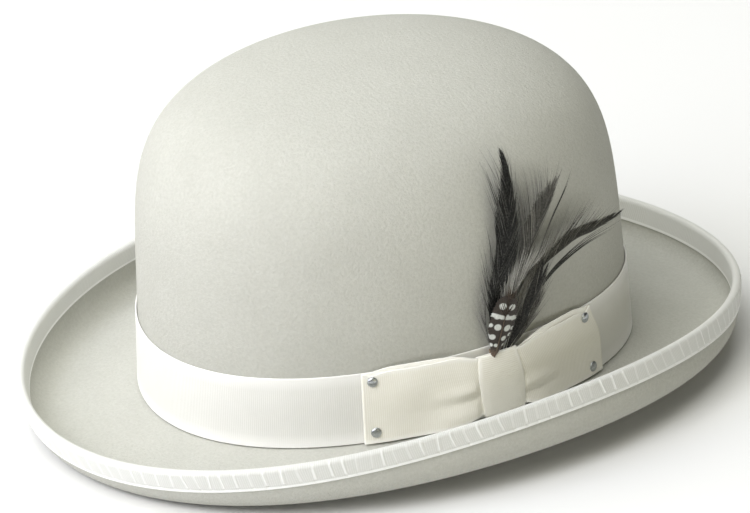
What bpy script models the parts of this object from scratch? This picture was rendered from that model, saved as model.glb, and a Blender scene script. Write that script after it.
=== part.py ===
"""Bowler hat, built from its separate pieces.

Metres, +Z up. The origin is the centre of the head opening, where the crown meets the brim. The
front of the hat faces -Y and the wearer's left, with the bow and the feathers, faces +X.

Places on the crown are given by a turn about +Z (0 at the front, 90 degrees on the wearer's left),
a rise above the break line where the crown meets the brim, and a stand-off from the outer felt.
"""

import bmesh
import bpy
from math import cos, degrees, hypot, pi, radians, sin
from mathutils import Vector

# Driving dimensions, in metres and degrees.
HEAD_HALF_LENGTH = 0.102  # outer felt at the break, front to back
HEAD_HALF_WIDTH = 0.0871
CROWN_HEIGHT = 0.1265
CROWN_TAPER = 0.043
DOME_LEAN = -0.0032  # how far the top leans towards the front
SHOULDER_POWER = 7.3
DOME_POWER = 2.08
FELT_THICKNESS = 0.0022

# The brim, as (at the sides, at the front and back, difference between back and front).
BREAK_RISE = 0.0065  # the break is this much higher at the sides than at the ends
BRIM_LENGTH = (0.0487, 0.0570, 0.0010)
BRIM_SLOPE = (-6.4, -7.5, -1.9)
CURL_END = (103.2, 77.0, -5.2)
CURL_MIDDLE = (0.655, 0.753)  # share of the brim's length where the curl is half done
CURL_SPAN = 0.25

BINDING_WIDTH = 0.0078
BINDING_THICKNESS = 0.0004
BAND_START = 0.0004  # the band's lower edge over the break
BAND_HEIGHT = 0.0298
BAND_THICKNESS = 0.0006
RIBBON_THICKNESS = 0.0005
GAP = 0.00025  # left between pieces that lie on each other

BOW_START = 53.3
BOW_END = 115.6
BOW_TOP = 0.0308
BOW_BOTTOM = 0.0004
PINCHED_TOP = 0.0264
PINCHED_BOTTOM = 0.0040
PINCH_REACH = 0.016  # how far from the knot the bow takes to spread

KNOT_TURN = 84.7
KNOT_WIDTH = 0.0176
KNOT_TOP = 0.0281
KNOT_BOTTOM = 0.0024
KNOT_SLANT = 0.0020  # how far its lower end lies towards the rear
KNOT_BULGE = 0.0005
POCKET_DEPTH = 0.0022  # for the quills, between the band and the knot

RIVET_RADIUS = 0.0021
RIVET_HEIGHT = 0.0011
SHANK_RADIUS = 0.0008
WASHER_THICKNESS = 0.0004
RIVETS = {
    "front_top": (55.5, 0.0265),
    "front_bottom": (55.7, 0.0051),
    "rear_top": (111.3, 0.0262),
    "rear_bottom": (112.9, 0.0042),
}

SWEATBAND_HEIGHT = 0.036
SWEATBAND_THICKNESS = 0.0007
SWEATBAND_LEAN = 0.0006  # how much nearer the felt its upper edge is than its lower one
REED_RADIUS = 0.0006
REED_RISE = 0.001
TURNED_EDGE = 0.005  # where the leather turned round the reed ends
LINING_THICKNESS = 0.0003
LINING_GAP = 0.0009  # the lining hangs this far inside the felt
LINING_START = 0.006
LINING_SEAM = 0.80  # share of the crown's height where the lining's side meets its tip

PAPER_THICKNESS = 0.0002
TRIM_THICKNESS = 0.0006  # the small bow over the sweatband's seam
BEHIND_SWEATBAND = 0.0006  # from the lining to the tape and the label

QUILL_DEPTH = 0.0225
QUILL_WIDTH = 0.006
FEATHER_START = 0.0289
FEATHER_THICKNESS = 0.0004
# Each feather: turn and rise of its tip, stand-off at its base and tip, half width, sideways bow.
FEATHERS = {
    "side_hackle": (122.5, 0.066, 0.0014, 0.007, 0.0035, -0.004),
    "grey_hackle": (108.8, 0.0905, 0.0021, 0.009, 0.0050, -0.003),
    "short_hackle": (98.5, 0.059, 0.0028, 0.007, 0.0045, -0.001),
    "tall_hackle": (95.2, 0.1045, 0.0035, 0.011, 0.0055, -0.003),
    "fluff_tuft": (91.5, 0.056, 0.0042, 0.0083, 0.0060, -0.001),
    "guinea_feather": (86.9, 0.0495, 0.0049, 0.0095, 0.0052, 0.0),
}

COLUMNS = 40  # steps round the hat
FULL_TURN = [360.0 * k / COLUMNS for k in range(COLUMNS)]
BAND_SEAM = KNOT_TURN
BACK_SEAM = 180.0
SEAM_HALF_GAP = 0.1
BOW_FOLD = 0.25  # degrees from the end of a bow's layer to the middle of its fold
BEND = [pi * 0.25, pi * 0.5, pi * 0.75]  # angles of the points on a half round


def by_turn(turn, values):
    """A brim value at this turn, from its value at the sides, at the ends and between the ends."""
    s, c = sin(radians(turn)), cos(radians(turn))
    sides, ends = values[0], values[1]
    tilt = values[2] if len(values) > 2 else 0.0
    return sides * s * s + ends * c * c + tilt * c


def break_height(turn):
    return BREAK_RISE * (sin(radians(turn)) ** 2 - 0.5)


def crown_height(turn, share):
    """The height that is this share of the way from the break to the crown's top."""
    return break_height(turn) * (1.0 - share) + CROWN_HEIGHT * share


def crown_at(turn, height):
    """The point of the outer felt at this turn and height."""
    t = min(max(height / CROWN_HEIGHT, 0.0), 1.0)
    spread = (1.0 - CROWN_TAPER * t) * max(1.0 - t**SHOULDER_POWER, 0.0) ** (1.0 / DOME_POWER)
    s, c = sin(radians(turn)), cos(radians(turn))
    return Vector(
        (HEAD_HALF_WIDTH * spread * s, -HEAD_HALF_LENGTH * spread * c + DOME_LEAN * t * t, height)
    )


def outward(turn, height):
    """The felt's outward direction there."""
    step = 0.0002
    low = max(height - step, 0.0)
    high = min(low + 2.0 * step, CROWN_HEIGHT * 0.9999)
    along = crown_at(turn + 0.1, height) - crown_at(turn - 0.1, height)
    up = crown_at(turn, high) - crown_at(turn, low)
    if along.length < 1e-7:
        return Vector((0.0, 0.0, 1.0))
    return along.cross(up).normalized()


def on_crown(turn, rise, stand_off):
    """The point this far above the break line and out from the felt."""
    height = break_height(turn) + rise
    return crown_at(turn, height) + outward(turn, max(height, 0.0)) * stand_off


def beside_knot(distance, rise, stand_off):
    """The point this far along the band from the knot's middle, towards the rear."""
    return on_crown(KNOT_TURN + distance / metres_per_degree(), rise, stand_off)


def metres_per_degree():
    """How far the band runs in one degree of turn, beside the knot."""
    return (crown_at(KNOT_TURN + 0.5, 0.0) - crown_at(KNOT_TURN - 0.5, 0.0)).length


def smooth(x):
    x = min(max(x, 0.0), 1.0)
    return x * x * (3.0 - 2.0 * x)


# Meshes and materials.


def finish(obj, colour, roughness, metallic, parent=None):
    material = bpy.data.materials.new(obj.name)
    material.use_nodes = True
    shader = material.node_tree.nodes["Principled BSDF"]
    shader.inputs["Base Color"].default_value = (*colour, 1.0)
    shader.inputs["Roughness"].default_value = roughness
    shader.inputs["Metallic"].default_value = metallic
    material.diffuse_color = (*colour, 1.0)
    obj.data.materials.clear()
    obj.data.materials.append(material)
    if parent is not None:
        obj.parent = parent
        obj.matrix_parent_inverse = parent.matrix_world.inverted()
    return obj


def link(name, data):
    obj = bpy.data.objects.new(name, data)
    bpy.data.collections["bowler_hat"].objects.link(obj)
    return obj


def loft(name, rows, around=False, tip=None):
    """A surface through rows of points, all of one length. around closes each row on itself, and
    tip closes the last row to one point. Where rows run up and each row runs with the turn, the
    faces look outwards."""
    mesh = bpy.data.meshes.new(name)
    bm = bmesh.new()
    grid = [[bm.verts.new(point) for point in row] for row in rows]
    count = len(grid[0])
    for low, high in zip(grid, grid[1:]):
        for k in range(count if around else count - 1):
            n = (k + 1) % count
            bm.faces.new((low[k], low[n], high[n], high[k]))
    if tip is not None:
        top = bm.verts.new(tip)
        for k in range(count):
            bm.faces.new((grid[-1][k], grid[-1][(k + 1) % count], top))
    for face in bm.faces:
        face.smooth = True
    bm.to_mesh(mesh)
    bm.free()
    mesh.set_sharp_from_angle(angle=radians(40.0))
    return link(name, mesh)


def thicken(obj, thickness, side):
    """Gives a sheet its thickness: side is 1 outwards, -1 inwards and 0 both ways."""
    solidify = obj.modifiers.new("thickness", "SOLIDIFY")
    solidify.thickness = thickness
    solidify.offset = side
    solidify.use_even_offset = True
    solidify.use_quality_normals = True
    return obj


def turned(name, profile, place, axis, steps=12):
    """A shape turned about its own Z, placed with that axis along `axis`. The profile lists
    (radius, height) from its top to its bottom."""
    mesh = bpy.data.meshes.new(name)
    mesh.from_pydata(
        [(radius, 0.0, height) for radius, height in profile],
        [(k, k + 1) for k in range(len(profile) - 1)],
        [],
    )
    obj = link(name, mesh)
    screw = obj.modifiers.new("turn", "SCREW")
    screw.steps = steps
    screw.render_steps = steps
    screw.use_merge_vertices = True
    screw.merge_threshold = 0.00001
    screw.use_smooth_shade = True
    obj.rotation_mode = "QUATERNION"
    obj.rotation_quaternion = axis.to_track_quat("Z", "Y")
    obj.location = place
    return obj


# The brim's section.


def brim_section(turn, shares):
    """(point on the upper face, upward direction) at each share of the brim's length."""
    s, c = sin(radians(turn)), cos(radians(turn))
    length = by_turn(turn, BRIM_LENGTH)
    slope = radians(by_turn(turn, BRIM_SLOPE))
    curl = radians(by_turn(turn, CURL_END))
    middle = by_turn(turn, CURL_MIDDLE)
    out = Vector((s / HEAD_HALF_WIDTH, -c / HEAD_HALF_LENGTH, 0.0)).normalized()

    def angle(share):
        w = min(max((share - middle) / CURL_SPAN + 0.5, 0.0), 1.0)
        return slope + (curl - slope) * 0.5 * (w + smooth(w))

    base = crown_at(turn, break_height(turn))
    steps = 80
    path = [Vector((0.0, 0.0))]
    for k in range(steps):
        a = angle((k + 0.5) / steps)
        path.append(path[-1] + Vector((cos(a), sin(a))) * (length / steps))
    found = []
    for share in shares:
        place = min(share * steps, steps - 1e-6)
        k = int(place)
        along, rise = path[k].lerp(path[k + 1], place - k)
        a = angle(share)
        point = base + out * along + Vector((0.0, 0.0, rise))
        up = Vector((0.0, 0.0, cos(a))) - out * sin(a)
        found.append((point, up))
    return found


def make_felt_body():
    """Crown and brim: one sheet from the brim's edge in to the break and up to the crown's top."""
    shares = [1.0, 0.92, 0.84, 0.78, 0.72, 0.66, 0.60, 0.53, 0.3, 0.0]
    sections = [brim_section(turn, shares) for turn in FULL_TURN]
    rows = [[section[k][0] for section in sections] for k in range(len(shares))]
    wall = [0.12, 0.25, 0.42]
    dome = [sin(radians(a)) ** (2.0 / SHOULDER_POWER) for a in (8, 16, 25, 35, 46, 57, 68, 80)]
    for share in wall + dome:
        rows.append([crown_at(turn, crown_height(turn, share)) for turn in FULL_TURN])
    felt = loft("felt_body", rows, around=True, tip=crown_at(0.0, CROWN_HEIGHT))
    return thicken(felt, FELT_THICKNESS, -1)


def make_binding():
    """Ribbon folded over the brim's edge, in the section of the brim itself."""
    leg = [1.0 - BINDING_WIDTH / by_turn(0.0, BRIM_LENGTH), 0.93, 1.0]
    inner = GAP + BINDING_THICKNESS * 0.5
    outer = FELT_THICKNESS + inner
    columns = []
    for turn in FULL_TURN:
        section = brim_section(turn, leg + [0.99])
        edge, up = section[2]
        ahead = (edge - section[3][0]).normalized()
        centre = edge - up * (FELT_THICKNESS * 0.5)
        radius = FELT_THICKNESS * 0.5 + inner
        column = [point + normal * inner for point, normal in section[:3]]
        column += [centre + up * radius * cos(a) + ahead * radius * sin(a) for a in BEND]
        column += [point - normal * outer for point, normal in reversed(section[:3])]
        columns.append(column)
    rows = [[column[k] for column in columns] for k in reversed(range(len(columns[0])))]
    return thicken(loft("brim_binding", rows, around=True), BINDING_THICKNESS, 0)


# Ribbon trim round the crown.


def open_turns(seam, turns=None):
    """Turns from just past a seam, right round, to just before it."""
    first, last = seam + SEAM_HALF_GAP, seam + 360.0 - SEAM_HALF_GAP
    inside = [t + 360.0 * k for t in (turns or FULL_TURN) for k in (0, 1)]
    return [first] + sorted(t for t in inside if first + 0.5 < t < last - 0.5) + [last]


def make_band():
    turns = open_turns(BAND_SEAM)
    rises = [BAND_START + (BAND_HEIGHT - BAND_START) * k / 3.0 for k in range(4)]
    rows = [[on_crown(turn, rise, GAP) for turn in turns] for rise in rises]
    return thicken(loft("hat_band", rows), BAND_THICKNESS, 1)


def knot_layers():
    """Stand-offs of the middles of the knot's back, the bow's back and front, and the knot's front."""
    step = RIBBON_THICKNESS + GAP
    back = GAP + BAND_THICKNESS + POCKET_DEPTH + GAP + RIBBON_THICKNESS * 0.5
    return back, back + step, back + 2.0 * step, back + 3.0 * step


def bow_layers(turn):
    """Stand-offs of the middles of the bow's back and front layer at this turn."""
    low = GAP + BAND_THICKNESS + GAP + WASHER_THICKNESS + GAP + RIBBON_THICKNESS * 0.5
    _, high, _, _ = knot_layers()
    half_knot = degrees(KNOT_WIDTH * 0.5 / HEAD_HALF_LENGTH)
    if turn < KNOT_TURN:
        share = (KNOT_TURN - half_knot - turn) / (KNOT_TURN - half_knot - BOW_START - 6.0)
    else:
        share = (turn - KNOT_TURN - half_knot) / (BOW_END - 6.0 - KNOT_TURN - half_knot)
    back = high + (low - high) * smooth(share)
    return back, back + RIBBON_THICKNESS + GAP


def pinch(turn):
    """1 inside the knot, falling to 0 where the bow has spread to its full height."""
    away = abs(turn - KNOT_TURN) * metres_per_degree() - KNOT_WIDTH * 0.5
    return 1.0 - smooth(away / PINCH_REACH)


def make_bow():
    """One flat loop of ribbon: the back layer, a fold at each end, and the front layer."""
    count = 17
    first, last = BOW_START + BOW_FOLD, BOW_END - BOW_FOLD
    turns = [first + (last - first) * k / count for k in range(count + 1)]
    path = [(turn, bow_layers(turn)[0]) for turn in turns]
    path.append((BOW_END, sum(bow_layers(BOW_END)) / 2.0))
    path += [(turn, bow_layers(turn)[1]) for turn in reversed(turns)]
    path.append((BOW_START, sum(bow_layers(BOW_START)) / 2.0))
    rows = []
    for k in range(4):
        row = []
        for turn, stand_off in reversed(path):
            top = BOW_TOP + (PINCHED_TOP - BOW_TOP) * pinch(turn)
            bottom = BOW_BOTTOM + (PINCHED_BOTTOM - BOW_BOTTOM) * pinch(turn)
            row.append(on_crown(turn, bottom + (top - bottom) * k / 3.0, stand_off))
        rows.append(row)
    bow = thicken(loft("bow_loop", rows, around=True), RIBBON_THICKNESS, 0)
    for name, (turn, rise) in RIVETS.items():
        hole = bow.modifiers.new("hole_" + name, "BOOLEAN")
        hole.operation = "DIFFERENCE"
        hole.solver = "EXACT"
        hole.object = rivet_hole(name, turn, rise)
    return bow


def rivet_hole(name, turn, rise):
    bpy.ops.mesh.primitive_cylinder_add(vertices=12, radius=SHANK_RADIUS + GAP, depth=0.006)
    cutter = bpy.context.object
    cutter.name = "cutter_" + name
    cutter.rotation_mode = "QUATERNION"
    cutter.rotation_quaternion = outward(turn, rise).to_track_quat("Z", "Y")
    cutter.location = on_crown(turn, rise, 0.0026)
    cutter.hide_render = True
    cutter.display_type = "WIRE"
    for collection in list(cutter.users_collection):
        collection.objects.unlink(cutter)
    bpy.data.collections["cutters"].objects.link(cutter)
    return cutter


def make_knot():
    """Ring of ribbon round the bow's middle, a little fuller in front."""
    back, _, _, front = knot_layers()
    middle, half = (back + front) / 2.0, (front - back) / 2.0
    straight_top, straight_bottom = KNOT_TOP - half, KNOT_BOTTOM + half
    drop = straight_top - straight_bottom
    section = [(straight_bottom + drop * k / 4.0, back) for k in range(5)]
    section += [(straight_top + half * sin(a), middle - half * cos(a)) for a in BEND]
    section += [(straight_top - drop * k / 4.0, front + KNOT_BULGE * sin(pi * k / 4.0)) for k in range(5)]
    section += [(straight_bottom - half * sin(a), middle + half * cos(a)) for a in BEND]
    columns = 4
    rows = []
    for k in range(columns + 1):
        across = KNOT_WIDTH * (k / columns - 0.5)
        row = []
        for rise, stand_off in section:
            slant = KNOT_SLANT * (0.5 - (rise - KNOT_BOTTOM) / (KNOT_TOP - KNOT_BOTTOM))
            row.append(beside_knot(across + slant, rise, stand_off))
        rows.append(row)
    return thicken(loft("bow_knot", rows, around=True), RIBBON_THICKNESS, 0)


def make_rivets():
    for name, (turn, rise) in RIVETS.items():
        back, front = bow_layers(turn)
        axis = outward(turn, rise)
        seat = front + RIBBON_THICKNESS * 0.5 + GAP * 0.5
        shank_end = back - RIBBON_THICKNESS * 0.5 - GAP - WASHER_THICKNESS
        washer = back - RIBBON_THICKNESS * 0.5 - GAP * 0.5 - WASHER_THICKNESS
        cap = [
            (0.0, RIVET_HEIGHT * 0.72),
            (RIVET_RADIUS * 0.5, RIVET_HEIGHT * 0.78),
            (RIVET_RADIUS * 0.72, RIVET_HEIGHT),
            (RIVET_RADIUS * 0.9, RIVET_HEIGHT * 0.85),
            (RIVET_RADIUS, RIVET_HEIGHT * 0.4),
            (RIVET_RADIUS * 0.97, 0.0),
            (SHANK_RADIUS, 0.0),
            (SHANK_RADIUS, shank_end - seat),
            (0.0, shank_end - seat),
        ]
        rivet = turned("rivet_" + name, cap, on_crown(turn, rise, seat), axis)
        finish(rivet, (0.62, 0.64, 0.66), 0.3, 1.0)
        hole, rim = SHANK_RADIUS + GAP, RIVET_RADIUS * 0.9
        ring = [(hole, WASHER_THICKNESS), (rim, WASHER_THICKNESS), (rim, 0.0), (hole, 0.0)]
        ring.append(ring[0])
        plate = turned("rivet_back_" + name, ring, on_crown(turn, rise, washer), axis)
        finish(plate, (0.62, 0.64, 0.66), 0.35, 1.0)


# Inside the crown.


def make_sweatband():
    """Leather strip, its lower edge turned round the reed, with a seam at the back."""
    turns = open_turns(BACK_SEAM)
    radius = REED_RADIUS + GAP + SWEATBAND_THICKNESS * 0.5
    outer = -(FELT_THICKNESS + GAP + SWEATBAND_THICKNESS * 0.5)
    centre, inner = outer - radius, outer - 2.0 * radius
    section = [(TURNED_EDGE, outer), (REED_RISE, outer)]
    section += [(REED_RISE - radius * sin(a), centre + radius * cos(a)) for a in BEND]
    section += [(REED_RISE, inner), (SWEATBAND_HEIGHT * 0.5, inner + SWEATBAND_LEAN * 0.8)]
    section.append((SWEATBAND_HEIGHT, inner + SWEATBAND_LEAN))
    rows = []
    for rise, stand_off in reversed(section):
        rows.append([on_crown(turn, rise, stand_off) for turn in turns])
    return thicken(loft("sweatband", rows), SWEATBAND_THICKNESS, 0)


def reed_stand_off():
    return -(FELT_THICKNESS + GAP + SWEATBAND_THICKNESS + GAP + REED_RADIUS)


def make_reed():
    curve = bpy.data.curves.new("sweatband_reed", "CURVE")
    curve.dimensions = "3D"
    curve.bevel_depth = REED_RADIUS
    curve.bevel_resolution = 1
    curve.use_fill_caps = True
    points = [on_crown(turn, REED_RISE, reed_stand_off()) for turn in open_turns(BACK_SEAM)]
    spline = curve.splines.new("POLY")
    spline.points.add(len(points) - 1)
    for point, place in zip(spline.points, points):
        point.co = (*place, 1.0)
    return link("sweatband_reed", curve)


def make_patch(name, turn, half_width, low, high, stand_off, thickness, waist=1.0):
    """A small flat piece on the crown's wall. waist is its middle's height as a share of its ends'."""
    per_degree = metres_per_degree()
    middle, half = (low + high) / 2.0, (high - low) / 2.0
    rows = []
    for k in range(3):
        row = []
        for n in range(9):
            across = half_width * (n / 4.0 - 1.0)
            narrow = waist + (1.0 - waist) * smooth(abs(across) / half_width)
            rise = middle + half * narrow * (k - 1.0)
            row.append(on_crown(turn + across / per_degree, rise, stand_off))
        rows.append(row)
    return thicken(loft(name, rows), thickness, 0)


def make_lining():
    """The wall of the lining, its tip, and the clear film under the tip."""
    gap = FELT_THICKNESS + LINING_GAP + LINING_THICKNESS * 0.5
    shares = [0.25, 0.42, 0.58, 0.70, LINING_SEAM]
    rows = [[on_crown(turn, LINING_START, -gap) for turn in FULL_TURN]]
    for share in shares:
        row = []
        for turn in FULL_TURN:
            row.append(on_crown(turn, crown_height(turn, share) - break_height(turn), -gap))
        rows.append(row)
    side = thicken(loft("lining_side", rows, around=True), LINING_THICKNESS, 0)
    finish(side, (0.62, 0.60, 0.55), 0.45, 0.0)
    tip_shares = [sin(radians(a)) ** (2.0 / SHOULDER_POWER) for a in (30, 40, 52, 65, 78)]
    tip = dome_cap("lining_tip", tip_shares, -gap, LINING_THICKNESS)
    finish(tip, (0.62, 0.60, 0.55), 0.45, 0.0)
    film_shares = [sin(radians(a)) ** (2.0 / SHOULDER_POWER) for a in (52, 65, 78)]
    film = dome_cap("lining_tip_shield", film_shares, -gap - LINING_THICKNESS - GAP, LINING_THICKNESS)
    finish(film, (0.85, 0.86, 0.85), 0.15, 0.0)


def dome_cap(name, shares, stand_off, thickness):
    rows = []
    for share in shares:
        height = CROWN_HEIGHT * share
        rows.append([crown_at(turn, height) + outward(turn, height) * stand_off for turn in FULL_TURN])
    top = crown_at(0.0, CROWN_HEIGHT) + Vector((0.0, 0.0, stand_off))
    return thicken(loft(name, rows, around=True, tip=top), thickness, 0)


# The feather mount.


def make_feather(name, tip_turn, tip_rise, base_off, tip_off, half_width, bow, parent):
    """A thin vane from the pocket's mouth to its tip, widest at two thirds of the way down."""
    tip = (tip_turn - KNOT_TURN) * metres_per_degree()
    length = hypot(tip, tip_rise - FEATHER_START)
    square = Vector((tip_rise - FEATHER_START, -tip)) / length
    count = 10
    rows = []
    for k in range(count + 1):
        share = k / count
        width = half_width * (0.12 + 0.88 * smooth(share * 3.0)) * (1.0 - share**2.2) + 0.0004
        sway = bow * sin(pi * share)
        stand_off = base_off + (tip_off - base_off) * share
        side = Vector((1.0, 0.0)).lerp(square, smooth(share * 4.0))
        row = []
        for across in (-1.0, 0.0, 1.0):
            along = tip * share + side.x * (width * across + sway)
            rise = FEATHER_START + (tip_rise - FEATHER_START) * share
            rise += side.y * (width * across + sway)
            row.append(beside_knot(along, rise, stand_off))
        rows.append(row)
    feather = thicken(loft(name, rows), FEATHER_THICKNESS, 0)
    shades = {"guinea_feather": 0.12, "grey_hackle": 0.22, "fluff_tuft": 0.35}
    shade = shades.get(name, 0.03)
    return finish(feather, (shade, shade, shade), 0.7, 0.0, parent)


def make_quill_binding(parent):
    """The flat bundle of quills in the pocket behind the knot."""
    low = FEATHER_START - GAP - QUILL_DEPTH
    high = FEATHER_START - GAP
    middle = GAP + BAND_THICKNESS + GAP + POCKET_DEPTH * 0.5 - GAP * 0.25
    binding = make_patch(
        "quill_binding", KNOT_TURN, QUILL_WIDTH * 0.5, low, high, middle, POCKET_DEPTH - 2.0 * GAP
    )
    return finish(binding, (0.22, 0.16, 0.10), 0.6, 0.0, parent)


def make_feather_mount():
    root = bpy.data.objects.new("feather_pull_axis", None)
    bpy.data.collections["bowler_hat"].objects.link(root)
    base, top = beside_knot(0.0, 0.005, 0.002), beside_knot(0.0, 0.028, 0.002)
    root.location = base
    root.rotation_mode = "QUATERNION"
    root.rotation_quaternion = (top - base).to_track_quat("Z", "Y")
    bpy.context.view_layer.update()
    make_quill_binding(root)
    for name, shape in FEATHERS.items():
        make_feather(name, *shape, parent=root)


def main():
    for obj in list(bpy.data.objects):
        bpy.data.objects.remove(obj)
    for name in ("bowler_hat", "cutters"):
        bpy.context.scene.collection.children.link(bpy.data.collections.new(name))
    felt = (0.80, 0.80, 0.76)
    finish(make_felt_body(), felt, 0.95, 0.0)
    finish(make_binding(), (0.84, 0.84, 0.82), 0.7, 0.0)
    finish(make_band(), (0.83, 0.83, 0.79), 0.65, 0.0)
    finish(make_bow(), (0.83, 0.81, 0.73), 0.65, 0.0)
    finish(make_knot(), (0.84, 0.82, 0.75), 0.65, 0.0)
    make_rivets()
    finish(make_sweatband(), (0.42, 0.27, 0.15), 0.5, 0.0)
    finish(make_reed(), (0.75, 0.73, 0.66), 0.4, 0.0)
    behind = -(FELT_THICKNESS + LINING_GAP + LINING_THICKNESS + BEHIND_SWEATBAND)
    tape = make_patch("sweatband_seam_tape", BACK_SEAM, 0.005, 0.010, 0.032, behind, PAPER_THICKNESS)
    finish(tape, (0.70, 0.68, 0.62), 0.7, 0.0)
    label = make_patch("size_label", BACK_SEAM + 24.0, 0.010, 0.012, 0.026, behind, PAPER_THICKNESS)
    finish(label, (0.80, 0.78, 0.70), 0.8, 0.0)
    inside = reed_stand_off() - REED_RADIUS - GAP - SWEATBAND_THICKNESS - TRIM_THICKNESS
    bow = make_patch("sweatband_bow", BACK_SEAM, 0.012, 0.020, 0.029, inside, TRIM_THICKNESS, waist=0.45)
    finish(bow, (0.60, 0.57, 0.50), 0.5, 0.0)
    make_lining()
    make_feather_mount()


main()
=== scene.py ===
"""The looks of the bowler hat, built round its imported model.

Places on the crown are given as in the model: by a turn about +Z (0 at the front, 90 degrees on the
wearer's left), a rise over the break line where the crown meets the brim, and a stand-off from the
outer felt. The ribbon trim is laid out along the band, by the distance from the knot's middle.
"""

from math import cos, pi, radians, sin

import bpy
import numpy as np
from mathutils import Matrix, Vector


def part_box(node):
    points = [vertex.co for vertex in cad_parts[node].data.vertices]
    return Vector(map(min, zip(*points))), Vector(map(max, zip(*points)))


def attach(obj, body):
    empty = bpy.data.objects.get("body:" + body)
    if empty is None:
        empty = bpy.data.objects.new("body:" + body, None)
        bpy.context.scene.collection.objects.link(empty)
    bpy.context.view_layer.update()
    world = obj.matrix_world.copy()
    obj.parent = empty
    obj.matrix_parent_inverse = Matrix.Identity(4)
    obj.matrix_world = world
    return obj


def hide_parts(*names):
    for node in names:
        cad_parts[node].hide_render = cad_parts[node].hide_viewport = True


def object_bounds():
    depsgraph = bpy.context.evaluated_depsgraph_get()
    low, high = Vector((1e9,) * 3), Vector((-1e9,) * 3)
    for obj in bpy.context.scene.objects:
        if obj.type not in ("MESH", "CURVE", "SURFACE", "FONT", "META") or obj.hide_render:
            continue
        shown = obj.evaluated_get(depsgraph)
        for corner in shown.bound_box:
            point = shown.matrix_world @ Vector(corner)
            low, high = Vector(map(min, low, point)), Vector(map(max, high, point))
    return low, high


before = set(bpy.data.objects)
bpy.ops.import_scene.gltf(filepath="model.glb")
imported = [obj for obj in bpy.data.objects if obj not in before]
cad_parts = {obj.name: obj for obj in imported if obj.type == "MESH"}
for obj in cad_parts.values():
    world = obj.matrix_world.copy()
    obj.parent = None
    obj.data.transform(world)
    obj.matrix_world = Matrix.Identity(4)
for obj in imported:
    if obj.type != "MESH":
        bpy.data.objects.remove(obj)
CAD_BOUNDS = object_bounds()

# The hat's driving dimensions, in metres and degrees, as the model has them.
CROWN_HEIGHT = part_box("felt_body")[1].z
HEAD_HALF_LENGTH = 0.102
HEAD_HALF_WIDTH = 0.0871
CROWN_TAPER = 0.043
DOME_LEAN = -0.0032
SHOULDER_POWER = 7.3
DOME_POWER = 2.08
FELT_THICKNESS = 0.0022
BREAK_RISE = 0.0065

# The brim, as (at the sides, at the front and back, difference between back and front).
BRIM_LENGTH = (0.0487, 0.0570, 0.0010)
BRIM_SLOPE = (-6.4, -7.5, -1.9)
CURL_END = (103.2, 77.0, -5.2)
CURL_MIDDLE = (0.655, 0.753, 0.0)
CURL_SPAN = 0.25

GAP = 0.00025
BINDING_WIDTH = 0.0078
BINDING_THICKNESS = 0.0004
STITCH_LINE = 0.0014  # from the binding's lower edge
CREASE_STEP = 0.0055  # the mean distance between two creases of the binding
CREASE_WIDTH = 0.00042
BAND_START = 0.0004
BAND_HEIGHT = 0.0298
BAND_LINE = 0.015  # the rise at which distances along the band are taken
BAND_THICKNESS = 0.0006
RIBBON_THICKNESS = 0.0005
RIB_PITCH = 0.00084
RIB_DEPTH = 0.00009

KNOT_TURN = 84.7
KNOT_WIDTH = 0.0176
KNOT_TOP = 0.0281
KNOT_BOTTOM = 0.0024
KNOT_SLANT = 0.0020
POCKET_DEPTH = 0.0022
BOW_START = 53.3
BOW_END = 115.6
BOW_LENGTH = 0.108
BOW_WIDTH = 0.0300
WASHER_THICKNESS = 0.0004
RIVET_RADIUS = 0.0021
RIVET_HEIGHT = 0.0011
SHANK_RADIUS = 0.0008
RIVETS = {
    "front_top": (55.5, 0.0265),
    "front_bottom": (55.7, 0.0051),
    "rear_top": (111.3, 0.0262),
    "rear_bottom": (112.9, 0.0042),
}

SWEATBAND_HEIGHT = 0.036
SWEATBAND_THICKNESS = 0.0007
SWEATBAND_LEAN = 0.0006
REED_RADIUS = 0.0006
REED_RISE = 0.001
TURNED_EDGE = 0.005
STITCH_RISE = 0.0046
LINING_THICKNESS = 0.0003
LINING_GAP = 0.0009
LINING_START = 0.006
LINING_SEAM = 0.80
BACK_SEAM = 180.0

BARB_THICKNESS = 0.00007
BARB_STEPS = 8
BARB_THINNING = 0.62  # under 1, the barbs stand closer together towards the quill's base
GUINEA_BARB_PITCH = 0.00042

rng = np.random.default_rng(7)


# Places on the hat. All of these take numbers or numpy arrays.


def smooth(x):
    """An even step from 0 to 1 as x goes from 0 to 1."""
    x = np.clip(x, 0.0, 1.0)
    return x * x * (3.0 - 2.0 * x)


def bell(x, width):
    """A bump that is 1 at x = 0 and falls to 0.37 one width away."""
    return np.exp(-((x / width) ** 2))


def by_turn(turn, values):
    """One of the brim's measures at these turns."""
    s, c = np.sin(np.radians(turn)), np.cos(np.radians(turn))
    return values[0] * s * s + values[1] * c * c + values[2] * c


def break_height(turn):
    """The height of the line where the crown meets the brim."""
    return BREAK_RISE * (np.sin(np.radians(turn)) ** 2 - 0.5)


def crown_at(turn, height):
    """The points of the outer felt at these turns and heights."""
    t = np.clip(height / CROWN_HEIGHT, 0.0, 1.0)
    spread = (1.0 - CROWN_TAPER * t) * np.maximum(1.0 - t**SHOULDER_POWER, 0.0) ** (1.0 / DOME_POWER)
    s, c = np.sin(np.radians(turn)), np.cos(np.radians(turn))
    x = HEAD_HALF_WIDTH * spread * s
    y = -HEAD_HALF_LENGTH * spread * c + DOME_LEAN * t * t
    return np.stack(np.broadcast_arrays(x, y, height), -1)


def unit(vectors):
    return vectors / np.maximum(np.linalg.norm(vectors, axis=-1, keepdims=True), 1e-12)


def lengths_along(line):
    """The distance along a line of points, at each of them."""
    return np.concatenate([[0.0], np.cumsum(np.linalg.norm(np.diff(line, axis=0), axis=1))])


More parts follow.
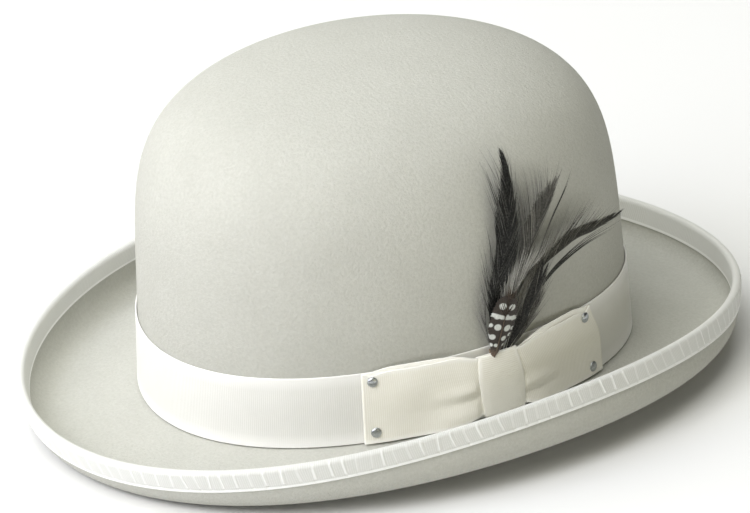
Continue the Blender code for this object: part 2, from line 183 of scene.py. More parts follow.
def outward(turn, height):
    """The felt's outward directions there."""
    low = np.clip(height, 0.0, CROWN_HEIGHT * 0.9995)
    along = crown_at(turn + 0.1, low) - crown_at(turn - 0.1, low)
    up = crown_at(turn, low + 0.00004) - crown_at(turn, low - 0.00004)
    return unit(np.cross(along, up))


def on_crown(turn, rise, stand_off):
    """Points at this rise over the break line and this far out from the felt."""
    height = break_height(turn) + rise
    place = crown_at(turn, height)
    return place + outward(turn, height) * np.asarray(stand_off)[..., None]


def beside_wall(turn, rise, stand_off):
    """Level with the felt at this rise, and this far out from it."""
    height = break_height(turn) + rise
    s, c = np.sin(np.radians(turn)), np.cos(np.radians(turn))
    level = np.stack(np.broadcast_arrays(s, -c, 0.0 * height), -1)
    return crown_at(turn, height) + level * np.asarray(stand_off)[..., None]


# The distance along the band from its front, at each of these turns.
ARC_TURNS = np.linspace(-20.0, 200.0, 1101)
ARC = lengths_along(crown_at(ARC_TURNS, break_height(ARC_TURNS) + BAND_LINE))
ARC_AT_KNOT = np.interp(KNOT_TURN, ARC_TURNS, ARC)


def turn_at(distance):
    """The turn this far along the band from the knot's middle, towards the rear."""
    return np.interp(distance + ARC_AT_KNOT, ARC, ARC_TURNS)


def distance_at(turn):
    """The reverse of turn_at."""
    return np.interp(turn, ARC_TURNS, ARC) - ARC_AT_KNOT


def beside_knot(distance, rise, stand_off):
    """A point on the crown, its place along the band given from the knot's middle."""
    return on_crown(turn_at(distance), rise, stand_off)


def brim_section(turns, shares):
    """Points of the brim's upper face and its upward directions, as arrays of (share, turn, xyz)."""
    steps = 400
    s, c = np.sin(np.radians(turns)), np.cos(np.radians(turns))
    slope, curl = np.radians(by_turn(turns, BRIM_SLOPE)), np.radians(by_turn(turns, CURL_END))
    middle, length = by_turn(turns, CURL_MIDDLE), by_turn(turns, BRIM_LENGTH)
    out = unit(np.stack([s / HEAD_HALF_WIDTH, -c / HEAD_HALF_LENGTH, 0.0 * s], -1))

    def angle(share):
        w = np.clip((share - middle) / CURL_SPAN + 0.5, 0.0, 1.0)
        return slope + (curl - slope) * 0.5 * (w + smooth(w))

    middles = angle((np.arange(steps)[:, None] + 0.5) / steps)
    along = np.concatenate([0.0 * s[None], np.cumsum(np.cos(middles), 0) * length / steps])
    rise = np.concatenate([0.0 * s[None], np.cumsum(np.sin(middles), 0) * length / steps])
    place = np.asarray(shares)[:, None] * steps
    low = np.minimum(place.astype(int), steps - 1)
    part = place - low
    picked = [np.take_along_axis(a, low + 0 * s.astype(int), 0) for a in (along, rise)]
    ahead = [np.take_along_axis(a, low + 1 + 0 * s.astype(int), 0) for a in (along, rise)]
    along, rise = [p + (q - p) * part for p, q in zip(picked, ahead)]
    points = crown_at(turns, break_height(turns)) + out * along[..., None]
    points[..., 2] += rise
    lean = angle(np.asarray(shares)[:, None])
    up = -out * np.sin(lean)[..., None]
    up[..., 2] += np.cos(lean)
    return points, up


# Meshes.


def new_object(name, data):
    obj = bpy.data.objects.new(name, data)
    bpy.context.scene.collection.objects.link(obj)
    return obj


def new_piece(name, vertices, faces, values=None):
    """A smooth mesh object. values are named numbers, one for each vertex, that its material reads."""
    mesh = bpy.data.meshes.new(name)
    mesh.from_pydata(np.asarray(vertices, float).tolist(), [], faces)
    for key, numbers in (values or {}).items():
        layer = mesh.attributes.new(key, "FLOAT", "POINT")
        layer.data.foreach_set("value", np.asarray(numbers, np.float32).ravel())
    mesh.shade_smooth()
    mesh.set_sharp_from_angle(angle=radians(50.0))
    return new_object(name, mesh)


def joined(name, groups):
    """One piece from several groups of (vertices, faces, values)."""
    vertices, faces, values, start = [], [], {}, 0
    for group_vertices, group_faces, group_values in groups:
        vertices.append(group_vertices)
        faces += [tuple(v + start for v in face) for face in group_faces]
        start += len(group_vertices)
        for key, numbers in group_values.items():
            values.setdefault(key, []).append(numbers)
    values = {key: np.concatenate(parts) for key, parts in values.items()}
    return new_piece(name, np.vstack(vertices), faces, values)


def quads(low, high, around):
    """Faces between matching rows of vertex numbers."""
    if around:
        pairs = zip(low, np.roll(low, -1), np.roll(high, -1), high)
    else:
        pairs = zip(low[:-1], low[1:], high[1:], high[:-1])
    return [tuple(int(v) for v in quad) for quad in pairs]


def sheet(name, grid, tip=None):
    """A closed surface through a grid of points, rows running up and columns with the turn. A tip
    closes it at the top."""
    rows, count = grid.shape[:2]
    index = np.arange(rows * count).reshape(rows, count)
    faces = []
    for k in range(rows - 1):
        faces += quads(index[k], index[k + 1], True)
    vertices = grid.reshape(-1, 3)
    if tip is not None:
        vertices = np.vstack([vertices, tip])
        last = rows * count
        faces += [(int(index[-1, k]), int(index[-1, (k + 1) % count]), last) for k in range(count)]
    return new_piece(name, vertices, faces)


def slab(name, front, back, around, values=None):
    """A closed body between two grids of one size: front is its outer face and back its inner one."""
    rows, count = front.shape[:2]
    outer = np.arange(rows * count).reshape(rows, count)
    inner = outer + rows * count
    faces = []
    for k in range(rows - 1):
        faces += quads(outer[k], outer[k + 1], around)
        faces += quads(inner[k + 1], inner[k], around)
    faces += quads(inner[0], outer[0], around)
    faces += quads(outer[-1], inner[-1], around)
    if not around:
        faces += quads(outer[:, 0], inner[:, 0], False)
        faces += quads(inner[:, -1], outer[:, -1], False)
    vertices = np.vstack([front.reshape(-1, 3), back.reshape(-1, 3)])
    both = {key: np.tile(np.ravel(numbers), 2) for key, numbers in (values or {}).items()}
    return new_piece(name, vertices, faces, both)


def grid_normals(grid, around):
    """Directions across a grid's surface, outwards for rows running up and columns with the turn."""
    if around:
        along = np.roll(grid, -1, 1) - np.roll(grid, 1, 1)
    else:
        along = np.gradient(grid, axis=1)
    return unit(np.cross(along, np.gradient(grid, axis=0)))


def thicken(obj, thickness):
    solidify = obj.modifiers.new("thickness", "SOLIDIFY")
    solidify.thickness = thickness
    solidify.offset = -1.0
    solidify.use_even_offset = True
    return obj


def spline(points, count):
    """A smooth path of `count` points through the given ones."""
    points = np.asarray(points, float)
    padded = np.vstack([2 * points[0] - points[1], points, 2 * points[-1] - points[-2]])
    place = np.linspace(0.0, len(points) - 1.0, count)
    k = np.minimum(place.astype(int), len(points) - 2)
    t = (place - k)[:, None]
    a, b, c, d = (padded[k + n] for n in range(4))
    square, cube = 2 * a - 5 * b + 4 * c - d, 3 * b - a - 3 * c + d
    return 0.5 * (2 * b + (c - a) * t + square * t**2 + cube * t**3)


def rod(centre, side, other, radius, sides):
    """(vertices, faces) of a round rod. side and other are the directions across it."""
    angles = np.arange(sides) * 2.0 * pi / sides
    ring = np.cos(angles)[:, None] * side[:, None] + np.sin(angles)[:, None] * other[:, None]
    radius = np.broadcast_to(radius, len(centre))[:, None, None]
    vertices = (centre[:, None] + ring * radius).reshape(-1, 3)
    rows = np.arange(len(vertices)).reshape(-1, sides)
    faces = []
    for low, high in zip(rows, rows[1:]):
        faces += quads(low, high, True)
    faces += [tuple(rows[0][::-1].tolist()), tuple(rows[-1].tolist())]
    return vertices, faces


def cord(line, radius, sides):
    """A group for `joined`: a round cord along a line of points."""
    ahead = unit(np.gradient(line, axis=0))
    side = unit(np.cross(ahead, [0.0, 0.0, 1.0]) + 1e-9)
    return *rod(line, side, np.cross(side, ahead), radius, sides), {}


# Materials.


def node(tree, kind, inputs=None, **settings):
    """A new shader node. Inputs are numbers, colours or the sockets that feed them."""
    made = tree.nodes.new("ShaderNode" + kind)
    for key, value in settings.items():
        setattr(made, key, value)
    for key, value in (inputs or {}).items():
        if isinstance(value, bpy.types.NodeSocket):
            tree.links.new(value, made.inputs[key])
        else:
            made.inputs[key].default_value = value
    return made


def material(name, roughness, **inputs):
    """(material, its node tree, its Principled node) with these even values on the shader itself.
    An input is named as on the shader, with _ for a space."""
    made = bpy.data.materials.new(name)
    made.use_nodes = True
    shader = made.node_tree.nodes["Principled BSDF"]
    shader.inputs["Roughness"].default_value = roughness
    for key, value in inputs.items():
        shader.inputs[key.replace("_", " ")].default_value = value
    return made, made.node_tree, shader


def feed(tree, shader, **sockets):
    """Links each socket to the shader's input of that name, with _ for a space."""
    for key, socket in sockets.items():
        tree.links.new(socket, shader.inputs[key.replace("_", " ")])


def noise(tree, scale, detail=3.0, roughness=0.55, low=0.3, high=0.7, stretch=None):
    """Noise in the hat's own frame, its scale in features per metre. low to high become 0 to 1."""
    place = node(tree, "TexCoord").outputs["Object"]
    if stretch is not None:
        place = node(tree, "Mapping", {"Vector": place, "Scale": stretch}).outputs["Vector"]
    inputs = {"Vector": place, "Scale": scale, "Detail": detail, "Roughness": roughness}
    return spread(tree, node(tree, "TexNoise", inputs).outputs["Fac"], low, high)


def attribute(tree, name):
    """The mesh's value of this name."""
    return node(tree, "Attribute", attribute_name=name).outputs["Fac"]


def maths(tree, operation, a, b=0.0):
    return node(tree, "Math", {0: a, 1: b}, operation=operation).outputs[0]


def spread(tree, value, low, high, start=0.0, end=1.0):
    """The value's range from low to high, stretched to start to end."""
    inputs = {"Value": value, 1: low, 2: high, 3: start, 4: end}
    return node(tree, "MapRange", inputs).outputs["Result"]


def blend(tree, share, a, b):
    """Colour a where the share is 0 and colour b where it is 1."""
    made = node(tree, "Mix", {"Factor": share}, data_type="RGBA")
    for key, value in ((6, a), (7, b)):
        if isinstance(value, bpy.types.NodeSocket):
            tree.links.new(value, made.inputs[key])
        else:
            made.inputs[key].default_value = (*value, 1.0)
    return made.outputs[2]


def tint(tree, colour, other, share, amount):
    """The colour with this much of the other in it where the share is 1."""
    return blend(tree, maths(tree, "MULTIPLY", share, amount), colour, other)


def bump(tree, height, distance, strength, below=None):
    """A normal from a height, over the normal below it."""
    inputs = {"Height": height, "Distance": distance, "Strength": strength}
    if below is not None:
        inputs["Normal"] = below
    return node(tree, "Bump", inputs).outputs["Normal"]


def felt_material():
    made, tree, shader = material("felt", 0.95, Specular_IOR_Level=0.25)
    patches = noise(tree, 45.0, 2.0)
    mottle = noise(tree, 800.0, 4.0, 0.65)
    fibres = noise(tree, 2100.0, 3.0, 0.7, 0.25, 0.75)
    colour = blend(tree, patches, (0.496, 0.496, 0.455), (0.526, 0.526, 0.484))
    colour = tint(tree, colour, (0.40, 0.40, 0.36), mottle, 0.6)
    colour = tint(tree, colour, (0.60, 0.60, 0.555), fibres, 0.2)
    normal = bump(tree, mottle, 0.00016, 0.9)
    normal = bump(tree, fibres, 0.00005, 0.7, normal)
    rough = spread(tree, mottle, 0.0, 1.0, 0.85, 1.0)
    feed(tree, shader, Base_Color=colour, Normal=normal, Roughness=rough)
    return made


def grosgrain_material(name, colour, shadow, light, rib_shade, rib_bump=0.0, sheen=0.4):
    """Ribbon whose ribs run across it. Its mesh gives "along" in metres, and from 0 to 1 the
    "selvedge" and the "ridge" of its creases. The rib valleys get painted shade in the shadow
    colour, and the selvedge and the crease ridges a painted highlight in the light colour."""
    made, tree, shader = material(
        name, 0.6, Sheen_Weight=sheen, Sheen_Roughness=0.5, Specular_IOR_Level=0.35)
    phase = maths(tree, "MULTIPLY", attribute(tree, "along"), 2.0 * pi / RIB_PITCH)
    wave = spread(tree, maths(tree, "COSINE", phase), -1.0, 1.0)
    plain = maths(tree, "SUBTRACT", 1.0, attribute(tree, "selvedge"))
    valley = maths(tree, "MULTIPLY", maths(tree, "SUBTRACT", 1.0, wave), plain)
    painted_highlight = maths(tree, "MAXIMUM", attribute(tree, "selvedge"), attribute(tree, "ridge"))
    threads = noise(tree, 3000.0, 2.0)
    paler = tuple(min(c * 1.035, 1.0) for c in colour)
    body = blend(tree, noise(tree, 90.0), colour, paler)
    body = tint(tree, body, shadow, threads, 0.12)
    body = tint(tree, body, shadow, valley, rib_shade)
    # Painted highlight: the selvedge and the crease ridges are blended towards the light colour.
    body = tint(tree, body, light, painted_highlight, 0.8)
    normal = bump(tree, threads, 0.00004, 0.5)
    if rib_bump > 0.0:
        normal = bump(tree, maths(tree, "MULTIPLY", wave, plain), rib_bump, 1.0, normal)
    feed(tree, shader, Base_Color=body, Normal=normal)
    return made


def feather_material(name, dark, light, sheen=0.1):
    """Barbs whose shade runs from dark to light by "tone", with fine streaks."""
    made, tree, shader = material(
        name, 0.5, Sheen_Weight=sheen, Sheen_Roughness=0.4, Specular_IOR_Level=0.2)
    streaks = noise(tree, 1500.0, 2.0)
    tone = maths(tree, "ADD", attribute(tree, "tone"), spread(tree, streaks, 0.0, 1.0, -0.12, 0.12))
    rough = spread(tree, streaks, 0.0, 1.0, 0.38, 0.62)
    feed(tree, shader, Base_Color=blend(tree, tone, dark, light), Roughness=rough)
    return made


def guinea_material():
    """The spotted vane. Its mesh gives "spot" and "base" from 0 to 1, and "barb" in metres."""
    made, tree, shader = material("spotted_feather", 0.55, Sheen_Weight=0.1)
    streaks = noise(tree, 1300.0)
    dark = blend(tree, streaks, (0.017, 0.012, 0.009), (0.038, 0.027, 0.021))
    tan = blend(tree, streaks, (0.07, 0.045, 0.03), (0.24, 0.17, 0.115))
    white = blend(tree, streaks, (0.56, 0.58, 0.56), (0.72, 0.74, 0.72))
    ground = blend(tree, attribute(tree, "base"), dark, tan)
    colour = blend(tree, attribute(tree, "spot"), ground, white)
    phase = maths(tree, "MULTIPLY", attribute(tree, "barb"), 2.0 * pi / GUINEA_BARB_PITCH)
    grooves = spread(tree, maths(tree, "COSINE", phase), -1.0, 1.0)
    feed(tree, shader, Base_Color=colour, Normal=bump(tree, grooves, 0.00006, 0.8))
    return made


def cloudy_material(name, roughness, cloud, darker, paler, rough_low, rough_high, **inputs):
    """A plain material that varies a little. cloud is its noise as (scale, detail, stretch)."""
    made, tree, shader = material(name, roughness, **inputs)
    share = noise(tree, cloud[0], cloud[1], stretch=cloud[2])
    rough = spread(tree, share, 0.0, 1.0, rough_low, rough_high)
    feed(tree, shader, Base_Color=blend(tree, share, darker, paler), Roughness=rough)
    return made


def steel_material():
    return cloudy_material("rivet_steel", 0.2, (2500.0, 3.0, (1.0, 1.0, 4.0)),
                           (0.42, 0.44, 0.46), (0.54, 0.56, 0.58), 0.24, 0.36, Metallic=1.0)


def film_material():
    return cloudy_material("clear_film", 0.12, (70.0, 3.0, None),
                           (0.78, 0.80, 0.79), (0.90, 0.91, 0.90), 0.08, 0.2, Alpha=0.3)


def plastic_material(name, colour, paler):
    return cloudy_material(name, 0.4, (400.0, 3.0, None), colour, paler, 0.32, 0.5)


def leather_material():
    made, tree, shader = material("sweatband_leather", 0.45)
    place = node(tree, "TexCoord").outputs["Object"]
    cells = node(tree, "TexVoronoi", {"Vector": place, "Scale": 1100.0}, feature="DISTANCE_TO_EDGE")
    grain = spread(tree, cells.outputs["Distance"], 0.0, 0.25)
    patches = noise(tree, 60.0, 4.0)
    colour = blend(tree, patches, (0.36, 0.22, 0.12), (0.46, 0.30, 0.17))
    colour = tint(tree, colour, (0.52, 0.36, 0.22), grain, 0.25)
    rough = spread(tree, patches, 0.0, 1.0, 0.38, 0.52)
    feed(tree, shader, Base_Color=colour, Roughness=rough, Normal=bump(tree, grain, 0.00005, 0.6))
    return made


def woven_material(name, colour, shadow, pitch, roughness=0.5, sheen=0.2):
    """Plain cloth, paper or tape: a fine cross weave in the hat's frame."""
    made, tree, shader = material(name, roughness, Sheen_Weight=sheen)
    place = node(tree, "TexCoord").outputs["Object"]
    inputs = {"Vector": place, "Scale": 1.0 / pitch, "Distortion": 0.6}
    upright = node(tree, "TexWave", inputs, bands_direction="Z").outputs["Fac"]
    slanted = node(tree, "TexWave", inputs, bands_direction="DIAGONAL").outputs["Fac"]
    weave = maths(tree, "MULTIPLY", upright, slanted)
    mixed = tint(tree, colour, shadow, noise(tree, 120.0), 0.4)
    mixed = tint(tree, mixed, shadow, weave, 0.3)
    feed(tree, shader, Base_Color=mixed, Normal=bump(tree, weave, 0.00004, 0.5))
    return made


def dress(obj, made, slot, body, *nodes):
    """Gives a finished piece its material and its body, and hides the model's nodes that it stands
    for.
    """
    obj.data.materials.append(made)
    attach(obj, body)
    if nodes:
        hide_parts(*nodes)


# Felt and binding.


def make_felt():
    """One skin from the brim's rim in to the break and up over the crown, then made thick."""
    turns = np.arange(0.0, 360.0, 1.25)
    curled, flat = np.linspace(1.0, 0.45, 46), np.linspace(0.43, 0.0, 15)
    brim, _ = brim_section(turns, np.concatenate([curled, flat]))
    wall = np.linspace(0.015, 0.68, 30)
    dome_start = np.arcsin(0.70 ** (SHOULDER_POWER / 2.0))
    dome = np.sin(np.linspace(dome_start, radians(88.6), 46)) ** (2.0 / SHOULDER_POWER)
    shares = np.concatenate([wall, dome])[:, None]
    heights = break_height(turns) * (1.0 - shares) + CROWN_HEIGHT * shares
    grid = np.vstack([brim, crown_at(turns, heights)])
    felt = sheet("felt_hood", grid, tip=crown_at(0.0, CROWN_HEIGHT))
    thicken(felt, FELT_THICKNESS)
    dress(felt, felt_material(), "felt", "hat", "felt_body")


def crease_columns(rim_length):
    """The binding's columns, close together at each crease: for each its distance along the rim,
    its place between two creases, from 0 to 1, and the number of the crease before it."""
    shortest, longest, last = 0.0044, 0.0068, 0.004
    near = np.array([0.0, 0.00012, 0.00028, 0.0005, 0.0008, 0.0012])
    open_from = 0.0017
    places, shares, numbers = [], [], []
    start, number = 0.0, 0
    while start < rim_length - 0.003:
        step = rng.uniform(shortest, longest)
        if rim_length - start - step < last:
            step = rim_length - start
        between = np.linspace(open_from, step - open_from, 4)
        inner = np.concatenate([near, between, step - near[:0:-1]])
        places.append(start + inner)
        shares.append(inner / step)
        numbers.append(np.full(len(inner), number))
        start += step
        number += 1
    return np.concatenate(places), np.concatenate(shares), np.concatenate(numbers)


def binding_surface(turns):
    """The middle of the binding's ribbon, from its lower edge on the brim's outer face, over the
    rim, to its lower edge on the inner face. Also the distance across the ribbon of each row."""
    edge_rows = BINDING_WIDTH - np.array([0.0, 0.0002, 0.0006, 0.0010])
    legs = np.concatenate([edge_rows, np.linspace(0.0063, 0.0, 17)])
    points, up = brim_section(turns, 1.0 - legs / by_turn(0.0, BRIM_LENGTH))
    off = GAP + BINDING_THICKNESS * 0.5
    outer_leg = points - up * (FELT_THICKNESS + off)
    inner_leg = points + up * off
    near_rim, _ = brim_section(turns, [0.99])
    ahead = unit(points[-1] - near_rim[0])
    centre = points[-1] - up[-1] * (FELT_THICKNESS * 0.5)
    radius = FELT_THICKNESS * 0.5 + off
    angles = np.radians(np.linspace(-75.0, 75.0, 9))[:, None, None]
    bend = centre + up[-1] * radius * np.sin(angles) + ahead * radius * np.cos(angles)
    grid = np.concatenate([outer_leg, bend, inner_leg[::-1]])
    return grid, lengths_along(grid[:, 0])


def crease_relief(v, shares, before, after):
    """How far the binding's face stands out, and its ridges, at the distances v across it and these
    shares of the way from one crease to the next. before and after are those creases' depths."""
    on_face = smooth((v - STITCH_LINE) / 0.0009) * (1.0 - smooth((v - BINDING_WIDTH) / 0.0022))
    left, right = shares * CREASE_STEP, (1.0 - shares) * CREASE_STEP
    ridge = on_face * (before * bell(left, CREASE_WIDTH) + after * bell(right, CREASE_WIDTH))
    puff = on_face * np.sin(pi * shares) ** 0.6
    dimple = bell(v - STITCH_LINE, 0.0005) * bell(np.minimum(left, right), 0.0007)
    groove = bell(v - STITCH_LINE, 0.00035)
    return 0.00034 * ridge + 0.00012 * puff - 0.00050 * dimple - 0.00010 * groove, ridge


def make_binding():
    """Grosgrain folded over the rim. It puckers at the stitches, so short creases run over the rim
    and down its outer face to the stitch line."""
    fine = np.linspace(0.0, 360.0, 3601)
    rim, _ = brim_section(fine, [1.0])
    arc = lengths_along(rim[0])
    places, shares, before = crease_columns(arc[-1])
    after = before + 1
    slants = rng.uniform(0.05, 0.36, after.max() + 1)
    depths = rng.uniform(0.35, 1.0, after.max() + 1)
    slants[-1], depths[-1] = slants[0], depths[0]
    base, across = binding_surface(np.interp(places, arc, fine))
    v = across[:, None]
    over_rim = BINDING_WIDTH + 0.0045
    slant = slants[before] * (1.0 - shares) + slants[after] * shares
    shift = (v - BINDING_WIDTH * 0.6) * slant * (v < over_rim)
    shift = shift - np.maximum(v - BINDING_WIDTH, 0.0) * slant
    turns = np.interp((places[None] - shift) % arc[-1], arc, fine)
    grid = np.stack([binding_surface(row_turns)[0][k] for k, row_turns in enumerate(turns)])
    normals = grid_normals(grid, True)
    lift, ridge = crease_relief(v, shares, depths[before], depths[after])
    from_edge = np.minimum(v, across[-1] - v)
    half = BINDING_THICKNESS * 0.5 * (0.4 + 0.6 * np.sqrt(np.minimum(from_edge / 0.0003, 1.0)))
    front = grid + normals * (half + lift)[..., None]
    back = grid - normals * half[..., None]
    # The material paints the selvedge and the crease ridges lighter: a painted highlight.
    values = {
        "along": np.broadcast_to(places, grid.shape[:2]),
        "selvedge": np.broadcast_to(1.0 - smooth((from_edge - 0.0011) / 0.0003), grid.shape[:2]),
        "ridge": ridge,
    }
    piece = slab("binding_ribbon", front, back, True, values)
    made = grosgrain_material("binding_grosgrain", (0.72, 0.725, 0.705), (0.54, 0.54, 0.50),
                              (0.92, 0.925, 0.91), 0.35, 0.00004, 0.1)
    dress(piece, made, "binding_grosgrain", "hat", "brim_binding")


# Ribbon trim round the crown.


def ribs(along):
    return RIB_DEPTH * 0.5 * (np.cos(2.0 * pi * along / RIB_PITCH) - 1.0)


def selvedge_share(v, width, reach=0.0010):
    """1 on the ribbon's two woven edges, 0 between them."""
    return 1.0 - smooth((np.minimum(v, width - v) - reach * 0.7) / (reach * 0.3))


def rounded(v, width, thickness):
    """Half the ribbon's thickness across its width, rounded off at both edges."""
    inset = np.clip(np.minimum(v, width - v) / (thickness * 0.6), 0.0, 1.0)
    return thickness * 0.5 * (0.35 + 0.65 * np.sqrt(inset * (2.0 - inset)))


def ribbon_rows(width, thickness, count):
    """Places across a ribbon, closer together at its edges."""
    edge = np.array([0.0, 0.12, 0.35, 0.7]) * thickness
    return np.concatenate([edge, np.linspace(0.0008, width - 0.0008, count), width - edge[::-1]])


def ribbon(name, middle, normals, half, along, selvedge, around, edge_lift=0.0):
    """A ribbed ribbon with this half thickness on both sides of its middle surface."""
    lift = ribs(along) * (1.0 - selvedge) + edge_lift * selvedge
    front = middle + normals * (half + lift)[..., None]
    back = middle - normals * np.broadcast_to(half, lift.shape)[..., None]
    values = {
        "along": np.broadcast_to(along, lift.shape),
        "selvedge": np.broadcast_to(selvedge, lift.shape),
    }
    return slab(name, front, back, around, values)


def make_band():
    seam = 0.1
    turns = np.linspace(KNOT_TURN + seam, KNOT_TURN + 360.0 - seam, 2861)
    width = BAND_HEIGHT - BAND_START
    v = ribbon_rows(width, BAND_THICKNESS, 7)[:, None]
    stand_off = np.full((len(v), len(turns)), GAP + BAND_THICKNESS * 0.5)
    middle = on_crown(turns, BAND_START + v, stand_off)
    normals = outward(turns, break_height(turns) + BAND_START + v)
    along = lengths_along(on_crown(turns, BAND_LINE, np.zeros(len(turns))))
    half = rounded(v, width, BAND_THICKNESS)
    # The selvedges get the material's painted highlight.
    selvedge = selvedge_share(v, width)
    piece = ribbon("band_ribbon", middle, normals, half, along, selvedge, False, 0.00003)
    made = grosgrain_material("band_grosgrain", (0.82, 0.815, 0.79), (0.62, 0.62, 0.57),
                              (0.93, 0.925, 0.905), 0.45)
    dress(piece, made, "band_grosgrain", "hat", "hat_band")


def knot_layers():
    """Stand-offs of the middles of the knot's back, the bow's back and front, and the knot's front."""
    step = RIBBON_THICKNESS + GAP
    back = GAP + BAND_THICKNESS + POCKET_DEPTH + GAP + RIBBON_THICKNESS * 0.5
    return back, back + step, back + 2.0 * step, back + 3.0 * step


def bow_layers(turn):
    """Stand-offs of the middles of the bow's back and front layer."""
    low = GAP + BAND_THICKNESS + GAP + WASHER_THICKNESS + GAP + RIBBON_THICKNESS * 0.5
    _, high, _, _ = knot_layers()
    half_knot = np.degrees(KNOT_WIDTH * 0.5 / HEAD_HALF_LENGTH)
    front = (KNOT_TURN - half_knot - turn) / (KNOT_TURN - half_knot - BOW_START - 6.0)
    rear = (turn - KNOT_TURN - half_knot) / (BOW_END - 6.0 - KNOT_TURN - half_knot)
    share = np.where(turn < KNOT_TURN, front, rear)
    back = high + (low - high) * smooth(share)
    return back, back + RIBBON_THICKNESS + GAP


def bow_relief(rise, in_front, from_knot, from_end):
    """The folds of the bow's front layer, which gathers at the knot: one valley runs from the knot's
    middle along each wing, with a swell over it and a swell under it."""
    from_valley = rise - np.where(in_front, 0.0118 - 0.05 * from_knot, 0.0080 - 0.04 * from_knot)
    valley = 0.0009 * bell(from_valley, 0.0015) * np.exp(-from_knot / 0.0105)
    swells = bell(from_valley - 0.0036, 0.0026) + bell(from_valley + 0.0060, 0.0034)
    swells = 0.0009 * swells * bell(from_knot - 0.006, 0.009)
    wave = 0.00025 * np.sin(from_knot / 0.0052 + rise * 90.0) * smooth(from_end / 0.02)
    return smooth(from_knot / 0.003) * (swells - valley * smooth(from_end / 0.015) + wave)


def bow_place(turn_share, rise_share, layer):
    """A point of the bow's ribbon: turn_share runs from its front end to its rear end, rise_share
    from its lower to its upper edge, and layer from 0 (back) to 1 (front)."""
    # The rear end is cut on a slant, further back at its lower edge.
    level = 0.0010 + rise_share * 0.029
    rear_end = BOW_END + 1.1 - 3.2 * smooth((level - 0.013) / 0.017) ** 1.3
    turn = BOW_START + (rear_end - BOW_START) * turn_share
    distance = distance_at(turn)
    in_front = distance < 0.0
    from_knot = np.maximum(np.abs(distance) - KNOT_WIDTH * 0.5, 0.0)
    from_end = np.minimum(turn_share, 1.0 - turn_share) * BOW_LENGTH
    # The knot pinches the ribbon's two edges together.
    pinched = np.exp(-((from_knot / 0.0075) ** 1.5))
    # A strip of the back layer shows above the front one.
    strip = np.where(in_front, 0.0006 + 0.0008 * smooth(from_knot / 0.02), 0.0019)
    top = 0.0300 + 0.0015 * smooth(from_end / 0.012) - 0.0040 * pinched
    top = top - strip * layer * smooth(from_end / 0.003) * (1.0 - pinched)
    bottom = 0.0005 + 0.0032 * pinched
    rise = bottom + (top - bottom) * rise_share
    back, front = bow_layers(turn)
    stand_off = back + (front - back) * layer
    stand_off = stand_off + layer * bow_relief(rise, in_front, from_knot, from_end)
    # Each rivet pulls the front layer in.
    for rivet_turn, rivet_rise in RIVETS.values():
        away = np.hypot(distance - distance_at(rivet_turn), rise - rivet_rise)
        stand_off = stand_off - 0.00018 * layer * bell(away, 0.0030)
    return on_crown(turn, rise, stand_off)


def make_bow():
    """One loop of ribbon, flattened: the back layer, a fold at each end, and the front layer."""
    count = 520
    shares = np.linspace(0.0, 1.0, count)
    fold = np.linspace(0.0, pi, 7)[1:-1]
    lean = 0.0028 * np.sin(fold)
    turn_share = np.concatenate([shares[::-1], -lean, shares, 1.0 + lean])[::-1]
    fold_layer = 0.5 - 0.5 * np.cos(fold)
    layer = np.concatenate([np.ones(count), 1.0 - fold_layer, np.zeros(count), fold_layer])[::-1]
    v = ribbon_rows(BOW_WIDTH, RIBBON_THICKNESS, 26)[:, None]
    middle = bow_place(turn_share[None], v / BOW_WIDTH, layer[None])
    along = lengths_along(middle[len(v) // 2])
    # The back layer's top strip, where it shows above the front layer, has no ribs and, like the
    # selvedges, gets the painted highlight.
    top_strip = smooth((v - BOW_WIDTH + 0.0026) / 0.0003) * (1.0 - layer)
    selvedge = np.maximum(selvedge_share(v, BOW_WIDTH), top_strip)
    half = rounded(v, BOW_WIDTH, RIBBON_THICKNESS)
    normals = grid_normals(middle, True)
    piece = ribbon("bow_ribbon", middle, normals, half, along, selvedge, True)
    made = grosgrain_material("bow_grosgrain", (0.97, 0.952, 0.885), (0.78, 0.745, 0.64),
                              (1.0, 0.99, 0.95), 0.42)
    dress(piece, made, "bow_grosgrain", "hat", "bow_loop")


